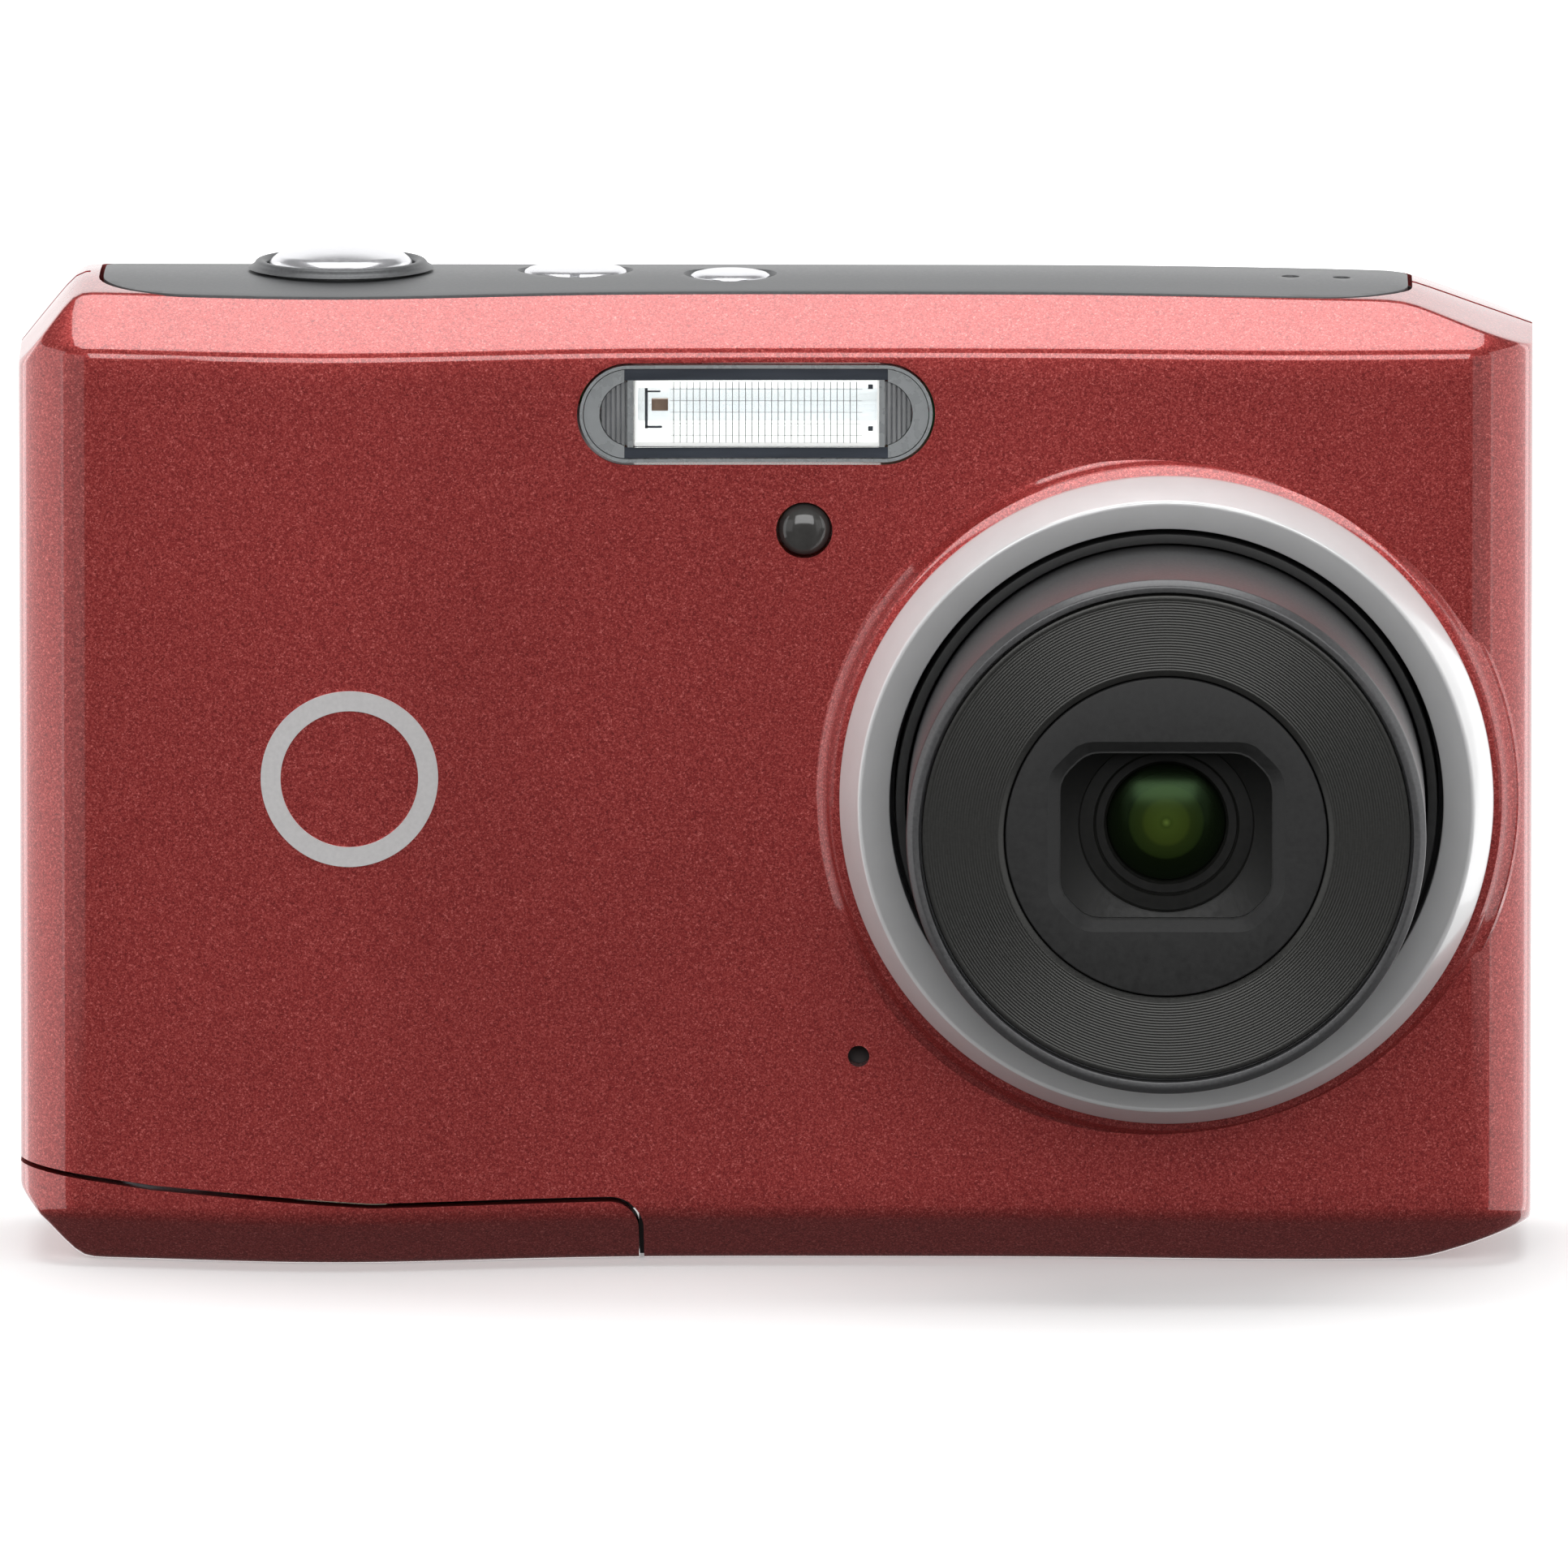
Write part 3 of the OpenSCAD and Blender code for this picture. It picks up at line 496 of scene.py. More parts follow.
def plate_outline(g):
    xs = [XL - g + 5 * (1 - math.cos(math.radians(a))) for a in range(0, 91, 9)]
    xs += [XL - g + 5 + (XR - XL + 2 * g - 10) * i / 80 for i in range(1, 80)]
    xs += [XR + g - 5 * (1 - math.cos(math.radians(a))) for a in range(90, -1, -9)]
    def tip(x, r):
        d = min(x - (XL - g), (XR + g) - x)
        return r - math.sqrt(max(0, r * r - (r - d) ** 2)) if d < r else 0
    front = [(x, yf(x) + 4.02 - g + tip(x, 5)) for x in xs]
    back = [(x, RY - 3.1 + g - tip(x, 2)) for x in reversed(xs)]
    return front + back


def door_outline(g):
    return ([(-HW - 2, -2), (-8 - g, -2), (-8 - g, 2.3)]
            + [(-10 + (2 - g) * math.cos(math.radians(a)), 2.3 + (2 - g) * math.sin(math.radians(a))) for a in range(6, 90, 6)]
            + [(-10, 4.3 - g), (-24.4, 4.2 - g), (-37.7, 5.1 - g), (-HW - 2, 6.4 - g)])


# the red foot that the bright ring stands on, a hollow cove down to the face
foot_prof = [(17.8, 7.6), (17.8, 11.15), (20.0, 11.15), (20.25, 11.05), (20.4, 10.85), (20.5, 10.6), (20.68, 10.35),
             (20.95, 10.12), (21.25, 9.98), (21.4, 9.7), (21.4, 7.6)]

front = copy(walls, "front_shell_skin")
boolean(front, boxo("c", -60, 60, -20, PY, -5, 80), "INTERSECT")
foot = lathe("foot", foot_prof, n=256)
shade(foot, 28)
rear = copy(walls, "rear_shell_skin")
boolean(rear, boxo("c", -60, 60, PY, 20, -5, 80), "INTERSECT")
door = copy(walls, "battery_door_skin")
boolean(door, prism("c", door_outline(0.25), -30, 6.9), "INTERSECT")

plate_cut = prism("c", plate_outline(0.27), PLZ, 64, "z")
boolean(front, plate_cut, keep=True)
boolean(rear, plate_cut)
boolean(front, prism("c", circle(17.9, 160, (LX, LZ)), -20, 0))
boolean(front, prism("c", pill(21.6, 6.2, (-1.13, 52.1)), -20, -5))
boolean(front, prism("c", circle(1.7, 48, (1.77, 45)), -20, -5))
boolean(front, prism("c", circle(0.65, 32, (5.06, 12.9)), -20, -5))
boolean(front, prism("c", door_outline(-0.05), -30, 5))
boolean(front, prism("c", circle(4.7, 64), -2, 4, "z"))
boolean(front, boxo("c", -33.5, 1, -5.5, 5, 55, 60))
for hx in (31.1, 34.2):
    boolean(front, prism("c", circle(0.55, 24, (hx, 0)), 54, 60, "z"))
boolean(rear, prism("c", door_outline(0), 0, 7.1))
boolean(rear, boxo("c", -60, -8, 7.05, 12, -2, 3))
boolean(rear, prism("c", circle(4.7, 64), -2, 4, "z"))
boolean(rear, boxo("c", -33.5, 1, 0, 6.5, 55, 60))
boolean(rear, prism("c", rrect(54.4, 44.4, 2, (15.5, 30)), 8.8, 11))
boolean(rear, boxo("c", -9.6, 40.6, 8, 11, 10, 50))
boolean(rear, prism("c", rrect(17.6, 6, 2, (-28.5, 46.6)), 8, 12))
boolean(rear, prism("c", circle(9.8, 96, (-28.5, 22)), 8, 12))
for kx, kz in ((-38, 37), (-19, 37), (-38.6, 7.6), (-18.4, 7.6)):
    boolean(rear, prism("c", circle(2.7, 48, (kx, kz)), 8, 12))
    boolean(rear, prism("c", circle(3.3, 48, (kx, kz)), 7.5, 9))
boolean(rear, boxo("c", -47, -43.2, 3.6, 7.2, 44, 50))
boolean(rear, boxo("c", 42, 47, 1.75, 6.45, 37.4, 52.1))
for sx in (12, 38):
    boolean(rear, prism("c", circle(1.5, 32, (sx, 5.5)), -1, 0.7, "z"))
for sz in (12, 30):
    boolean(rear, prism("c", circle(1.5, 32, (4, sz)), 45.05, 47, "x"))
# the battery door's knuckle and the body's two knuckles
kn = prism("c", circle(1.2, 40, (8.5, 1.45)), -36.8, -15.2, "x")
boolean(kn, boxo("c", -36.8, -15.2, 6.4, 8.5, 0.26, 1.45), "UNION")
boolean(kn, prism("c", circle(0.65, 32, (8.5, 1.45)), -40, -12, "x"))
boolean(door, kn, "UNION")
for a, b in ((-41.4, -39.8), (-12.2, -9)):
    kn = prism("c", circle(1.2, 40, (8.5, 1.45)), a, b, "x")
    boolean(kn, boxo("c", a, b, 7.6, 9.6, 1.45, 3.4), "UNION")
    boolean(kn, prism("c", circle(0.65, 32, (8.5, 1.45)), a - 1, b + 1, "x"))
    boolean(rear, kn, "UNION")
# along the sloped corners the front shell stands a little lower than the rear one; a black strip in the gap between
# them is painted shade
gap_shade_strips = []
for xa, xb in ((-HW, -HW + 4.2), (HW - 8.0, HW)):
    line = [(xa + (xb - xa) * i / 24, zt(xa + (xb - xa) * i / 24)) for i in range(25)]
    low = [(x, z - 0.22) for x, z in line]
    boolean(front, prism("c", low + [(xb, 66), (xa, 66)], 0.25, 1.2))
    strip = [(x, z - 0.3) for x, z in line] + [(x, z - 0.03) for x, z in reversed(line)]
    gap_shade_strips.append(prism("s", strip, 0.9, 0.985))
# a black strip along the battery door's end at x = -8, painted shade for the gap there
gap_shade_strips.append(prism("s", [(-6.6, 0.3), (-9.5, 2.9), (-9.5, 4.1), (0.98, 4.1), (0.98, 0.3)], -8.23, -7.9, "x"))
# a black lip inside the front wall closes the view through the door's gap, as painted shade for that gap
gap_shade_strips.append(prism("s", [(-31, 5.5), (-31, 4.0), (-24.4, 3.75), (-10.4, 3.75), (-9.4, 3.45), (-7.6, 3.45), (-7.6, 5.2), (-24.4, 5.1)], -8.95, -8.82))
# the cup behind the strap bar
cup = boxo("c", -43.2, -42.6, 3, 8.6, 43.2, 50.8)
rear = join("rear_shell_skin", [rear, cup])
shade(front, 28)
front = join_mats("front_shell_skin", [(front, RED), (foot, RED)] + [(q, BLACK) for q in gap_shade_strips])
placed(front, ROOT, "front_shell")
shade(rear, 28); done(rear, ROOT, "rear_shell", RED)
shade(door, 28); done(door, "door_body", "battery_door", RED)
D.objects.remove(walls)

# ------------------------------------------------------------------ top plate and its buttons
top = copy(envelope, "top_plate_skin")
boolean(top, prism("c", plate_outline(0), PLZ + 0.05, 66, "z"), "INTERSECT")
boolean(top, prism("c", circle(4.95, 96, (-26.4, 1.2)), 55, 64, "z"))


def dish(cx, cy, r, R):
    return lathe("c", [(0, 55), (r, 55), (r, 58.85), (r + 0.12, 59.0), (R - 0.12, 59.36), (R + 0.02, 59.6), (R + 0.02, 62), (0, 62)], "top", 96,
                 centre=(cx, cy))


boolean(top, dish(-12.2, 1.6, 3.3, 3.65))
boolean(top, dish(-2.8, -0.2, 2.6, 2.95))
for hx in (31.1, 34.2):
    boolean(top, prism("c", circle(0.55, 24, (hx, 0)), 54, 64, "z"))
bevel(top, 0.26, 3, 40)
shade(top, 28); done(top, ROOT, "top_plate", TOPM)

collar = lathe("shutter_collar_ring", smooth_profile([(4.5, 58.95), (4.5, 59.8), (4.78, 60.02), (5.12, 59.98), (5.3, 59.68), (5.65, 59.5),
               (4.93, 59.42), (4.93, 58.95)], [0.05, 0.1, 0.16, 0.16, 0.2, 0.06, 0.05, 0.05], 5), "top", 128, centre=(-26.4, 1.2))
shade(collar, 40); done(collar, ROOT, "shutter_collar", TOPM)
dome = [(0, 60.85)] + [(r, 60.85 - 0.62 * (r / 4.0) ** 2.2) for r in [0.3 * i for i in range(1, 14)]]
sh = lathe("shutter_button_cap", dome + [(4.15, 60.05), (4.3, 59.85), (4.35, 59.6), (4.35, 58.8), (4.8, 58.8), (4.8, 58.3), (0, 58.3)], "top", 128,
           centre=(-26.4, 1.2))
shade(sh, 30); done(sh, "shutter_button_body", "shutter_button", BUTTON)


def coil(name, cx, cy, r, w, h, z0, z1, turns, n=144):
    v, f = [], []
    for i in range(n + 1):
        a, c = i * turns * 2 * math.pi / n, z0 + (z1 - z0) * i / n
        for qx, qz in ((-w, -h), (w, -h), (w, h), (-w, h)):
            v.append((cx + (r + qx) * math.cos(a), cy + (r + qx) * math.sin(a), c + qz))
    for i in range(n):
        for j in range(4):
            k = (j + 1) % 4
            f.append((4 * i + j, 4 * i + 4 + j, 4 * i + 4 + k, 4 * i + k))
    f += [(0, 1, 2, 3), (4 * n + 3, 4 * n + 2, 4 * n + 1, 4 * n)]
    o = obj_from(name, v, f)
    bm = bmesh.new(); bm.from_mesh(o.data); bmesh.ops.recalc_face_normals(bm, faces=bm.faces[:]); bm.to_mesh(o.data); bm.free()
    return o


# the spring under the shutter button
spring = coil("shutter_coil", -26.4, 1.2, 3.2, 0.18, 0.1, 56.95, 58.05, 3)
shade(spring, 40); done(spring, ROOT, "shutter_spring", STEEL)
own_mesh(spring)
pb = lathe("power_button_cap", [(0, 59.6), (1.4, 59.58), (2.4, 59.5), (2.85, 59.4), (3.05, 59.28), (3.15, 59.1), (3.15, 57.65), (3.7, 57.65),
           (3.7, 57.25), (0, 57.25)], "top", 96, centre=(-12.2, 1.6))
boolean(pb, boxo("c", -12.5, -11.9, -2.2, -1.0, 59.15, 60))
shade(pb, 30); done(pb, "power_button_body", "power_button", BUTTON)
mb = lathe("mode_button_cap", [(0, 59.55), (1.0, 59.53), (1.8, 59.46), (2.2, 59.36), (2.38, 59.24), (2.45, 59.05), (2.45, 57.65), (3.0, 57.65),
           (3.0, 57.25), (0, 57.25)], "top", 96, centre=(-2.8, -0.2))
shade(mb, 30); done(mb, "mode_button_body", "mode_button", BUTTON)

# ------------------------------------------------------------------ lens
ring = lathe("lens_ring_bright", smooth_profile([(16.7, 8.8), (16.7, 12.9), (18.4, 14.45), (18.6, 14.4), (19.75, 11.7), (19.75, 11.2),
             (17.6, 11.2), (17.6, 8.8)], [0.05, 0.12, 0.12, 0.12, 0.15, 0.08, 0.05, 0.05], 5), n=256)
shade(ring, 25); done(ring, ROOT, "lens_ring", CHROME)
cam = lathe("cam_barrel_tube", smooth_profile([(15.75, 3.5), (15.75, 12.5), (16.35, 12.5), (16.35, 3.5)], 0.1), n=192)
shade(cam, 30); done(cam, "cam_barrel_body", "cam_barrel", BLACK)
f = LF
bar = lathe("front_barrel_tube", smooth_profile([(14.85, f - 16.5), (14.85, f - 1.85), (13.9, f - 1.8), (13.9, f - 1.05), (14.85, f - 1.05),
            (14.85, f - 0.02), (15.22, f), (15.6, f - 0.42), (15.6, f - 16.5)], [0.05, 0.05, 0.05, 0.05, 0.05, 0.06, 0.1, 0.12, 0.05], 4), n=256)
shade(bar, 25); done(bar, "front_barrel_body", "front_barrel", BARREL)
gp = [(9.75, f - 1.0), (9.75, f - 0.5), (9.9, f - 0.38)]
for i in range(26):
    r = 10.05 + i * 0.165
    gp += [(r, f - 0.30), (r + 0.05, f - 0.265), (r + 0.10, f - 0.265), (r + 0.15, f - 0.30)]
gp += [(14.45, f - 0.26), (14.62, f - 0.32), (14.68, f - 0.5), (14.68, f - 1.0)]
nr = lathe("name_ring_face", gp, n=256)
shade(nr, 50); done(nr, "front_barrel_body", "name_ring", RINGD)


def octagon(w, h, c, k=4, rad=0.8):
    p = [(w / 2 - c, h / 2), (-w / 2 + c, h / 2), (-w / 2, h / 2 - c), (-w / 2, -h / 2 + c), (-w / 2 + c, -h / 2), (w / 2 - c, -h / 2),
         (w / 2, -h / 2 + c), (w / 2, h / 2 - c)]
    q = rounded(p, [rad] * 8, k)
    return [(LX + a[0], LZ + a[1]) for a in q]


bc = lathe("barrier_cover_plate", smooth_profile([(0.0001, f - 1.35), (9.65, f - 1.35), (9.65, f - 0.4), (0.0001, f - 0.4)], [0.0, 0.05, 0.12, 0.0], 4), n=192)
boolean(bc, prism("c", octagon(12.7, 10, 1.6), -f - 2, -f + 4))
step = loft_oct = None
# the window's sloping rim
o1, o2 = octagon(12.9, 10.2, 1.65), octagon(14.4, 11.7, 2.0)
n8 = len(o1)
v = [(p[0], -(f - 0.95), p[1]) for p in o1] + [(p[0], -(f + 0.3), p[1]) for p in
     [(a[0] + (a[0] - b[0]) * 1.0, a[1] + (a[1] - b[1]) * 1.0) for a, b in zip(o2, o1)]]
fc = [tuple(range(n8)), tuple(n8 + i for i in reversed(range(n8)))] + [(i, i + n8, (i + 1) % n8 + n8, (i + 1) % n8) for i in range(n8)]
boolean(bc, fix_normals(obj_from("c", v, fc)))
shade(bc, 25); done(bc, "front_barrel_body", "barrier_cover", BLACK)


def blade_obj(name, s):
    pts = [(-6.95, 5.4), (6.95, 5.4)]
    for a in range(0, 181, 6):
        x, y = 12.8 * math.cos(math.radians(a)), 12.8 * math.sin(math.radians(a))
        if abs(x) <= 6.95 and y > 5.4:
            pts.append((x, min(y, 10.8)))
    pts = [(6.95, 5.4), (6.95, 10.6), (5.2, 10.8), (-5.2, 10.8), (-6.95, 10.6), (-6.95, 5.4)]
    p = [(LX + a, LZ + s * b) for a, b in pts]
    o = prism(name, p, -(f - 2.15), -(f - 2.6))
    bevel(o, 0.08, 2)
    shade(o, 30)
    return o


done(blade_obj("barrier_blade_upper_leaf", 1), "blade_upper_body", "barrier_blade_upper", BLADE)
done(blade_obj("barrier_blade_lower_leaf", -1), "blade_lower_body", "barrier_blade_lower", BLADE)
cellp = [(3.1, 17.5), (3.1, 18.1), (3.6, 18.1), (3.6, 20.75), (3.75, 20.9), (4.22, 20.9), (4.3, 20.98), (4.3, 21.3), (4.4, 21.4), (5.2, 21.4),
         (5.3, 21.5), (5.3, 21.85), (5.45, 21.92), (5.9, 22.02), (8.5, 23.05), (8.7, 23.1), (14.8, 23.1), (14.8, 22.4), (9.5, 22.4), (9.5, 17.5)]
lc = lathe("front_lens_cell_rings", cellp, n=192)
shade(lc, 28); done(lc, "front_barrel_body", "front_lens_cell", CELLB)
R0 = 9.0
gl = [(0, 20.8)] + [(r, 11.8 + math.sqrt(R0 * R0 - r * r)) for r in [0.25 * i for i in range(1, 14)]] + [(3.55, 11.8 + math.sqrt(R0 * R0 - 3.55 ** 2)), (3.55, 18.15), (0, 18.15)]
LENS_TINT_AND_GLINTS = new_mat("lens_tint_and_painted_glints")
cm, cnt, cb = LENS_TINT_AND_GLINTS
cco = cnt.nodes.new("ShaderNodeTexCoord")
csub = cnt.nodes.new("ShaderNodeVectorMath"); csub.operation = "SUBTRACT"
csub.inputs[1].default_value = (LX * MM, 0, LZ * MM)
cmul = cnt.nodes.new("ShaderNodeVectorMath"); cmul.operation = "MULTIPLY"
cmul.inputs[1].default_value = (1000, 0, 1000)
clen = cnt.nodes.new("ShaderNodeVectorMath"); clen.operation = "LENGTH"
cnt.links.new(cco.outputs["Object"], csub.inputs[0]); cnt.links.new(csub.outputs[0], cmul.inputs[0])
cnt.links.new(cmul.outputs[0], clen.inputs[0])
# painted highlight and painted reflections: the base colour runs with distance from the lens axis, a bright spot at the
# centre and rings round it, over the glass's own dark olive-green tint
cnt.links.new(ramp(cnt, rng(cnt, clen.outputs["Value"], 0.0, 1.0, 0.0, 3.6),
                   [(0.0, (0.16, 0.24, 0.045)), (0.08, (0.05, 0.08, 0.012)), (0.14, (0.065, 0.10, 0.015)), (0.36, (0.05, 0.075, 0.011)),
                    (0.42, (0.028, 0.045, 0.008)), (0.60, (0.02, 0.034, 0.007)), (0.64, (0.006, 0.010, 0.003)), (0.8, (0.006, 0.010, 0.004)), (1.0, (0.004, 0.006, 0.003))]),
              cb.inputs["Base Color"])
cn = tex(cnt, "noise", 300, 2.0)
cb.inputs["Roughness"].default_value = 0.22
cb.inputs["Specular IOR Level"].default_value = 0.35
cb.inputs["Specular Tint"].default_value = (0.55, 1.0, 0.45, 1)
add_bump(cnt, cb, cn.outputs[0], 0.01, 0.00001)
fl = lathe("front_lens_glass", gl, n=128)
shade(fl, 30); done(fl, "front_barrel_body", "front_lens", cm)

# ------------------------------------------------------------------ flash window, lamp, badge
FX, FZ = -1.13, 52.1


def window_part(poly, y0=-14, y1=-9.0, inset=0.0):
    """A slice of the body's outside within poly, set back by inset."""
    o = copy(envelope, "w")
    if inset:
        for vtx in o.data.vertices:
            vtx.co.y += inset * MM
    boolean(o, prism("c", poly, y0, y1), "INTERSECT")
    return o


# thin rim all round
rim = window_part(pill(21.3, 5.9, (FX, FZ)))
boolean(rim, prism("c", pill(20.9, 5.5, (FX, FZ)), -20, 0))
parts = [(rim, RIMG)]
# broad crescents and ribbed D-shaped ends
for sgn in (-1, 1):
    crescent = window_part(pill(20.8, 5.4, (FX, FZ)), inset=0.08)
    boolean(crescent, prism("c", pill(18.9, 4.0, (FX, FZ)), -20, 0))
    cut_x = FX + sgn * 7.95
    keep = boxo("c", min(cut_x, cut_x + sgn * 5), max(cut_x, cut_x + sgn * 5), -20, 0, 40, 60)
    boolean(crescent, keep, "INTERSECT")
    parts.append((crescent, RIMG))
    d_end = window_part(pill(18.8, 3.95, (FX, FZ)), inset=0.22)
    x_in = FX + sgn * 7.75
    boolean(d_end, boxo("c", min(x_in, x_in + sgn * 4), max(x_in, x_in + sgn * 4), -20, 0, 40, 60), "INTERSECT")
    cuts = []
    for i in range(6):
        gx = x_in + sgn * (0.12 + i * 0.3)
        yy = yf(gx) + 0.22
        g = obj_from("c", [(gx - 0.13, yy - 0.2, 49), (gx + 0.13, yy - 0.2, 49), (gx, yy + 0.2, 49),
                           (gx - 0.13, yy - 0.2, 55), (gx + 0.13, yy - 0.2, 55), (gx, yy + 0.2, 55)],
                     [(0, 1, 2), (5, 4, 3), (0, 3, 4, 1), (1, 4, 5, 2), (2, 5, 3, 0)])
        cuts.append(fix_normals(g))
    for g in cuts:
        boolean(d_end, g)
    parts.append((d_end, RIBS))
# dark bars above and below the clear middle, and the posts beside it
for z0, z1 in ((FZ + 2.04, FZ + 2.7), (FZ - 2.7, FZ - 2.04)):
    bar_ = window_part([(FX - 7.95, z0), (FX + 7.95, z0), (FX + 7.95, z1), (FX - 7.95, z1)], inset=0.15)
    parts.append((bar_, BARD))
for x0, x1 in ((FX - 7.75, FX - 7.42), (FX + 7.42, FX + 7.75)):
    post = window_part([(x0, FZ - 2.04), (x1, FZ - 2.04), (x1, FZ + 2.04), (x0, FZ + 2.04)], inset=0.12)
    parts.append((post, RIMG))
# clear middle with its fine grid standing behind it
pane = window_part([(FX - 7.42, FZ - 2.04), (FX + 7.42, FZ - 2.04), (FX + 7.42, FZ + 2.04), (FX - 7.42, FZ + 2.04)], y1=-9.55)
parts.append((pane, CLEARP))
for i in range(29):
    gx = FX - 5.0 + i * 0.395
    parts.append((boxo("g", gx - 0.022, gx + 0.022, -9.25, -9.2, FZ - 1.86, FZ + 1.86), GRID))
for i in range(5):
    gz = FZ - 1.4 + i * 0.7
    parts.append((boxo("g", FX - 5.2, FX + 6.4, -9.2, -9.17, gz - 0.012, gz + 0.012), GRID))
win = join_mats("flash_window_lens", parts)
shade(win, 25); placed(win, ROOT, "flash_window")

# reflector: a trough behind the clear middle that glows as painted light, with its tube and electrodes
prof = [(-8.4, 50.15), (-8.4, 54.05)]
prof += [(-8.25, 53.95)]
for i in range(11):
    a_ = math.radians(90 - 18 * i)
    prof.append((-8.1 + 3.4 * math.cos(a_), FZ + 1.72 * math.sin(a_)))
prof += [(-8.25, 50.25)]
trough_wall = []
outer_p = [(-8.4, 49.75), (-3.7, 49.75), (-3.7, 54.45), (-8.4, 54.45)]
ref = prism("flash_reflector_trough", outer_p, -8.55, 6.3, "x")
cutp = [(-8.6, FZ - 1.95), (-8.0, FZ - 1.86)]
for i in range(13):
    a_ = math.radians(-90 + 15 * i)
    cutp.append((-8.0 + 3.2 * math.cos(a_), FZ + 1.86 * math.sin(a_)))
cutp += [(-8.6, FZ + 1.95)]
seen = []
for q in cutp:
    if not seen or (abs(q[0] - seen[-1][0]) + abs(q[1] - seen[-1][1])) > 1e-4:
        seen.append(q)
boolean(ref, prism("c", seen, FX - 7.3, FX + 7.3, "x"))
boolean(ref, prism("c", circle(1.3, 40, (-5.6, FZ)), -10, 8, "x"))
GLOW, gnt, gb = new_mat("flash_glow")
gn = tex(gnt, "noise", 700, 2.0)
gnt.links.new(ramp(gnt, gn.outputs[0], [(0.3, (0.92, 0.93, 0.90)), (0.7, (0.98, 0.98, 0.96))]), gb.inputs["Base Color"])
gb.inputs["Roughness"].default_value = 0.35
gb.inputs["Metallic"].default_value = 0.2
# painted glow: the reflector trough emits light of its own
gb.inputs["Emission Color"].default_value = (1.0, 1.0, 0.97, 1)
gb.inputs["Emission Strength"].default_value = 0.7
bits = [(ref, GLOW)]
# electrode block, its leads, and the clips at the right end
bits.append((boxo("g", -7.55, -6.55, -7.4, -6.9, FZ - 0.15, FZ + 0.55), COPPER))
bits.append((boxo("g", -7.95, -7.78, -7.6, -7.4, FZ - 1.2, FZ + 1.25), BARD))
bits.append((boxo("g", -7.95, -6.9, -7.6, -7.4, FZ - 1.18, FZ - 1.05), BARD))
bits.append((boxo("g", -7.95, -7.0, -7.6, -7.4, FZ + 1.0, FZ + 1.1), BARD))
for zz in (1.2, -1.35):
    bits.append((boxo("g", 5.6, 5.9, -7.6, -7.4, FZ + zz, FZ + zz + 0.28), BARD))
ref = join_mats("flash_reflector_trough", bits)
shade(ref, 30); placed(ref, ROOT, "flash_reflector")
lampp = [(0, 10.25), (0.5, 10.22), (0.9, 10.12), (1.2, 9.98), (1.42, 9.8), (1.55, 9.6), (1.6, 9.4), (1.6, 8.6), (0, 8.6)]
lamp = lathe("af_lamp_dome", lampp, n=64, centre=(1.77, 45))
shade(lamp, 30); done(lamp, ROOT, "af_lamp_window", LAMPD)

bd = copy(envelope, "badge_mark")
for vtx in bd.data.vertices:
    vtx.co.y -= 0.16 * MM
ringo = lathe("c", [(4.15, 8), (4.15, 16), (5.35, 16), (5.35, 8)], n=96, centre=(-25.65, 30.2))
boolean(bd, ringo, "INTERSECT")
back = copy(envelope, "c")
for vtx in back.data.vertices:
    vtx.co.y += 0.02 * MM
boolean(bd, back)
shade(bd, 28); done(bd, ROOT, "badge", MARK)
D.objects.remove(envelope)

# ------------------------------------------------------------------ back, sides and underside
lcdw = prism("lcd_window_pane", rrect(54, 44, 1.8, (15.5, 30)), 8.85, 10.0)
bevel(lcdw, 0.25, 3); shade(lcdw, 30); done(lcdw, ROOT, "lcd_window", GLOSS)


def key(name, x, z, body, node, mark=None):
    o = lathe(name, [(0, 10.3), (1.6, 10.3), (2.1, 10.27), (2.38, 10.16), (2.5, 9.98), (2.5, 8.92), (3.1, 8.92), (3.1, 8.6), (0, 8.6)], "back", 72, centre=(x, z))
    shade(o, 30); done(o, body, node, KEY)


key("play_key", -38, 37, "play_body", "play_button")
key("record_key", -19, 37, "record_body", "record_button")
key("menu_key", -38.6, 7.6, "menu_body", "menu_button")
key("delete_key", -18.4, 7.6, "delete_body", "delete_button")
pad = lathe("four_way_pad_ring", [(3.65, 9.15), (3.65, 10.45), (3.8, 10.58), (4.4, 10.6), (5.4, 10.45), (6.0, 10.25), (6.5, 10.15), (7.0, 10.25),
            (7.8, 10.5), (8.6, 10.6), (9.1, 10.55), (9.32, 10.4), (9.4, 10.2), (9.4, 9.15)], "back", 160, centre=(-28.5, 22))
shade(pad, 30); done(pad, "pad_body", "four_way_pad", KEY)
setb = lathe("set_key", [(0, 10.5), (1.5, 10.54), (2.6, 10.66), (3.0, 10.7), (3.2, 10.62), (3.3, 10.4), (3.3, 8.92), (3.6, 8.92), (3.6, 8.6), (0, 8.6)], "back", 96,
             centre=(-28.5, 22))
shade(setb, 30); done(setb, "set_body", "set_button", KEY)
rock = prism("zoom_rocker_bar", rrect(17, 5.4, 1.8, (-28.5, 46.6)), 9.1, 10.4)
bevel(rock, 0.3, 3)
for s in (-1, 1):
    for dx in (-0.5, 0, 0.5):
        boolean(rock, boxo("c", -28.5 + s * (6.2 + dx) - 0.1, -28.5 + s * (6.2 + dx) + 0.1, 10.25, 11, 45.2, 48.0))
shade(rock, 30); done(rock, "zoom_rocker_body", "zoom_rocker", KEY)
pc = boxo("port_cover_flap", 44.5, 45.7, 1.95, 6.25, 39.4, 51.9)
bevel(pc, 0.3, 3)
kn = prism("c", circle(0.6, 32, (44.95, 38.55)), 1.95, 6.25)
pc = join("port_cover_flap", [pc, kn, boxo("c", 44.5, 45.3, 1.95, 6.25, 38.6, 39.8)])
shade(pc, 30); done(pc, "port_cover_body", "port_cover", RUBBER)

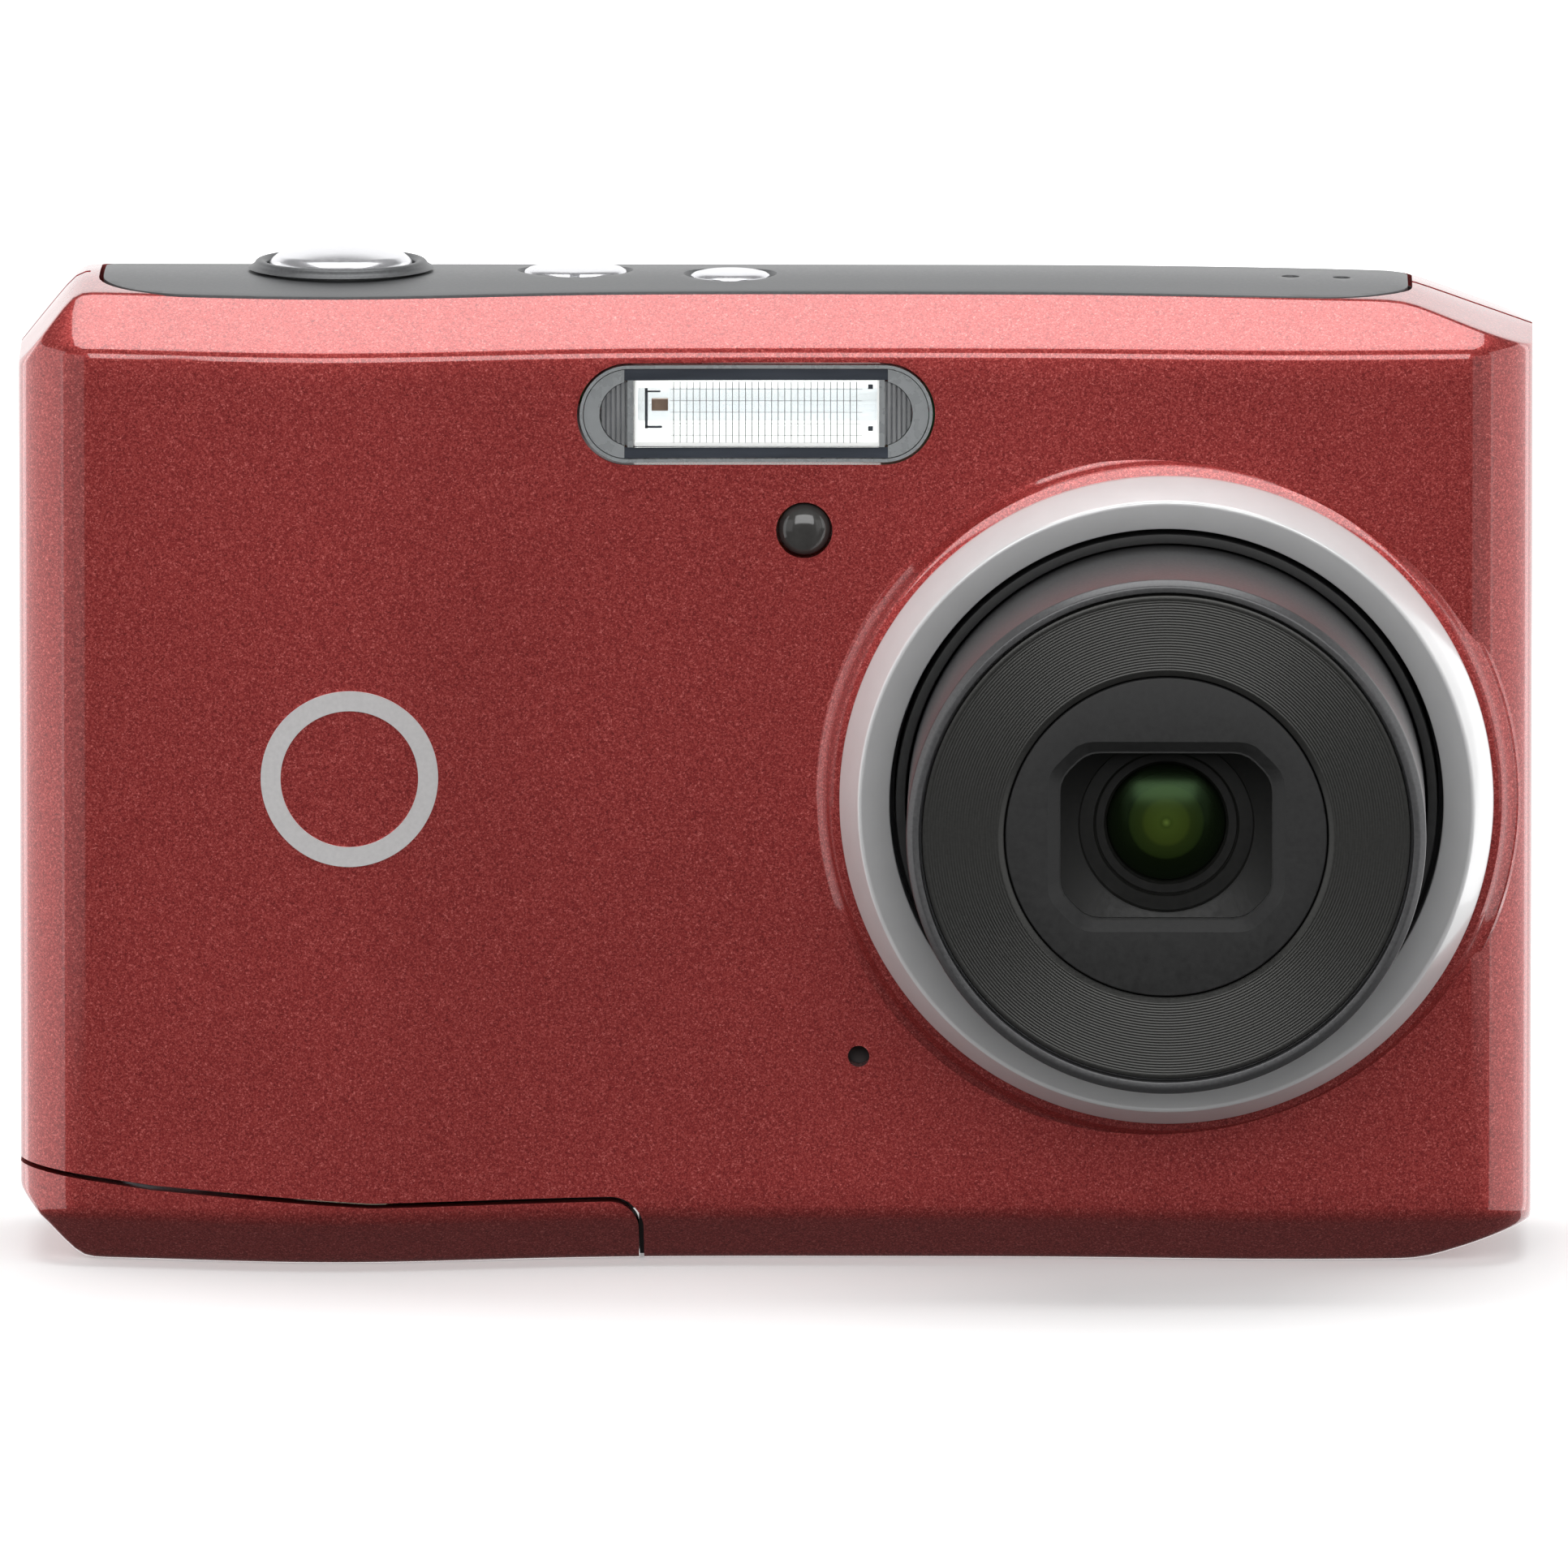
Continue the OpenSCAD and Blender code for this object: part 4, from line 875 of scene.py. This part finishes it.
for n_, m_ in NODE_MATS.items():
    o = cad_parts[n_]
    if not o.hide_render:
        if not o.material_slots:
            o.data.materials.append(m_)
        for s_ in o.material_slots:
            s_.material = m_

# ------------------------------------------------------------------ stage, light and camera
def backdrop():
    v = [(0.0, 0.0, 0.0)]
    fcs = []
    m = 96
    for r in (0.3, 1.5, 7.0):
        for i in range(m):
            a = i / m * 2 * math.pi
            v.append((r * math.cos(a), r * math.sin(a), 0.0))
    for i in range(m):
        j = (i + 1) % m
        fcs.append((0, 1 + i, 1 + j))
        for k in (0, 1):
            fcs.append((1 + k * m + i, 1 + (k + 1) * m + i, 1 + (k + 1) * m + j, 1 + k * m + j))
    o = obj_from("studio_floor", v, fcs, 1.0)
    fm = generic("floor_pale", (0.8, 0.8, 0.8), 0.0, 0.6, 0.01, 30, 0.0, spec=0.1)
    pb_ = [q for q in fm.node_tree.nodes if q.type == "BSDF_PRINCIPLED"][0]
    pb_.inputs["Emission Color"].default_value = (1, 1, 1, 1)
    fco = fm.node_tree.nodes.new("ShaderNodeTexCoord")
    fsq = fm.node_tree.nodes.new("ShaderNodeVectorMath"); fsq.operation = "MULTIPLY"
    fsq.inputs[1].default_value = (0.8, 1.3, 1.0)
    fln = fm.node_tree.nodes.new("ShaderNodeVectorMath"); fln.operation = "LENGTH"
    fm.node_tree.links.new(fco.outputs["Object"], fsq.inputs[0])
    fm.node_tree.links.new(fsq.outputs[0], fln.inputs[0])
    # painted glow: the floor emits light, weakest round the camera body and stronger further out, so the floor is
    # darker near the object
    fm.node_tree.links.new(rng(fm.node_tree, fln.outputs["Value"], 0.30, 1.0, 0.03, 0.12), pb_.inputs["Emission Strength"])
    # seen from underneath the floor is clear, so that the underside can be looked at
    out_ = [q for q in fm.node_tree.nodes if q.type == "OUTPUT_MATERIAL"][0]
    gm = fm.node_tree.nodes.new("ShaderNodeNewGeometry")
    tr = fm.node_tree.nodes.new("ShaderNodeBsdfTransparent")
    mx = fm.node_tree.nodes.new("ShaderNodeMixShader")
    fm.node_tree.links.new(gm.outputs["Backfacing"], mx.inputs[0])
    fm.node_tree.links.new(pb_.outputs[0], mx.inputs[1])
    fm.node_tree.links.new(tr.outputs[0], mx.inputs[2])
    fm.node_tree.links.new(mx.outputs[0], out_.inputs["Surface"])
    o.data.materials.append(fm)
    o.visible_shadow = False
    o.visible_glossy = False
    o.visible_diffuse = False
    o.visible_transmission = False
    return o


backdrop()


def area(name, loc, target, size, power, size_y=None, col=(1, 1, 1)):
    l = D.lights.new(name, "AREA"); l.energy = power; l.color = col
    l.shape = "RECTANGLE"; l.size = size; l.size_y = size_y or size
    o = D.objects.new(name, l); scene.collection.objects.link(o)
    o.location = loc
    o.visible_camera = False
    o.rotation_euler = (Vector(target) - Vector(loc)).to_track_quat("-Z", "Y").to_euler()
    return o


area("key_top", (0.0, 0.03, 0.60), (0, 0.0, 0.03), 0.50, 2.15, 0.42)
area("side_left", (-0.62, 0.15, 0.10), (0, 0.15, 0.10), 1.1, 2.7, 0.8)
area("side_right", (0.62, 0.15, 0.10), (0, 0.15, 0.10), 1.1, 2.7, 0.8)
area("edge_left", (-0.75, -0.75, 0.15), (0, 0, 0.03), 0.6, 0.5, 0.6)
area("edge_right", (0.75, -0.75, 0.15), (0, 0, 0.03), 0.6, 0.5, 0.6)
area("front_fill", (0.0, -1.25, 0.58), (0, 0, 0.03), 1.2, 8.6, 0.7)
area("back_wash", (0.0, 0.60, 0.02), (0, 0, 0.03), 1.6, 5.0, 0.9)
w = D.worlds.new("studio"); scene.world = w; w.use_nodes = True
wn, wl = w.node_tree.nodes, w.node_tree.links
wn["Background"].inputs[0].default_value = (1.0, 1.0, 1.0, 1)
wp = wn.new("ShaderNodeLightPath")
wr = wn.new("ShaderNodeMapRange")
wr.inputs["To Min"].default_value, wr.inputs["To Max"].default_value = 0.08, 1.0
wl.new(wp.outputs["Is Camera Ray"], wr.inputs["Value"])
wl.new(wr.outputs["Result"], wn["Background"].inputs[1])

cam_d = D.cameras.new("photo_view"); cam_o = D.objects.new("photo_view", cam_d)
scene.collection.objects.link(cam_o); scene.camera = cam_o
dist, az, el = 2.4, math.radians(0.6), math.radians(8.3)
aim = Vector((0.55, -10.0, 29.53)) * MM
cam_o.location = aim + Vector((math.sin(az) * math.cos(el), -math.cos(az) * math.cos(el), math.sin(el))) * dist
cam_o.rotation_euler = (aim - cam_o.location).to_track_quat("-Z", "Y").to_euler()
cam_d.sensor_width = 36.0
cam_d.lens = 36.0 * dist / 0.09470
cam_d.clip_start = 0.01
scene.view_settings.view_transform = "Standard"
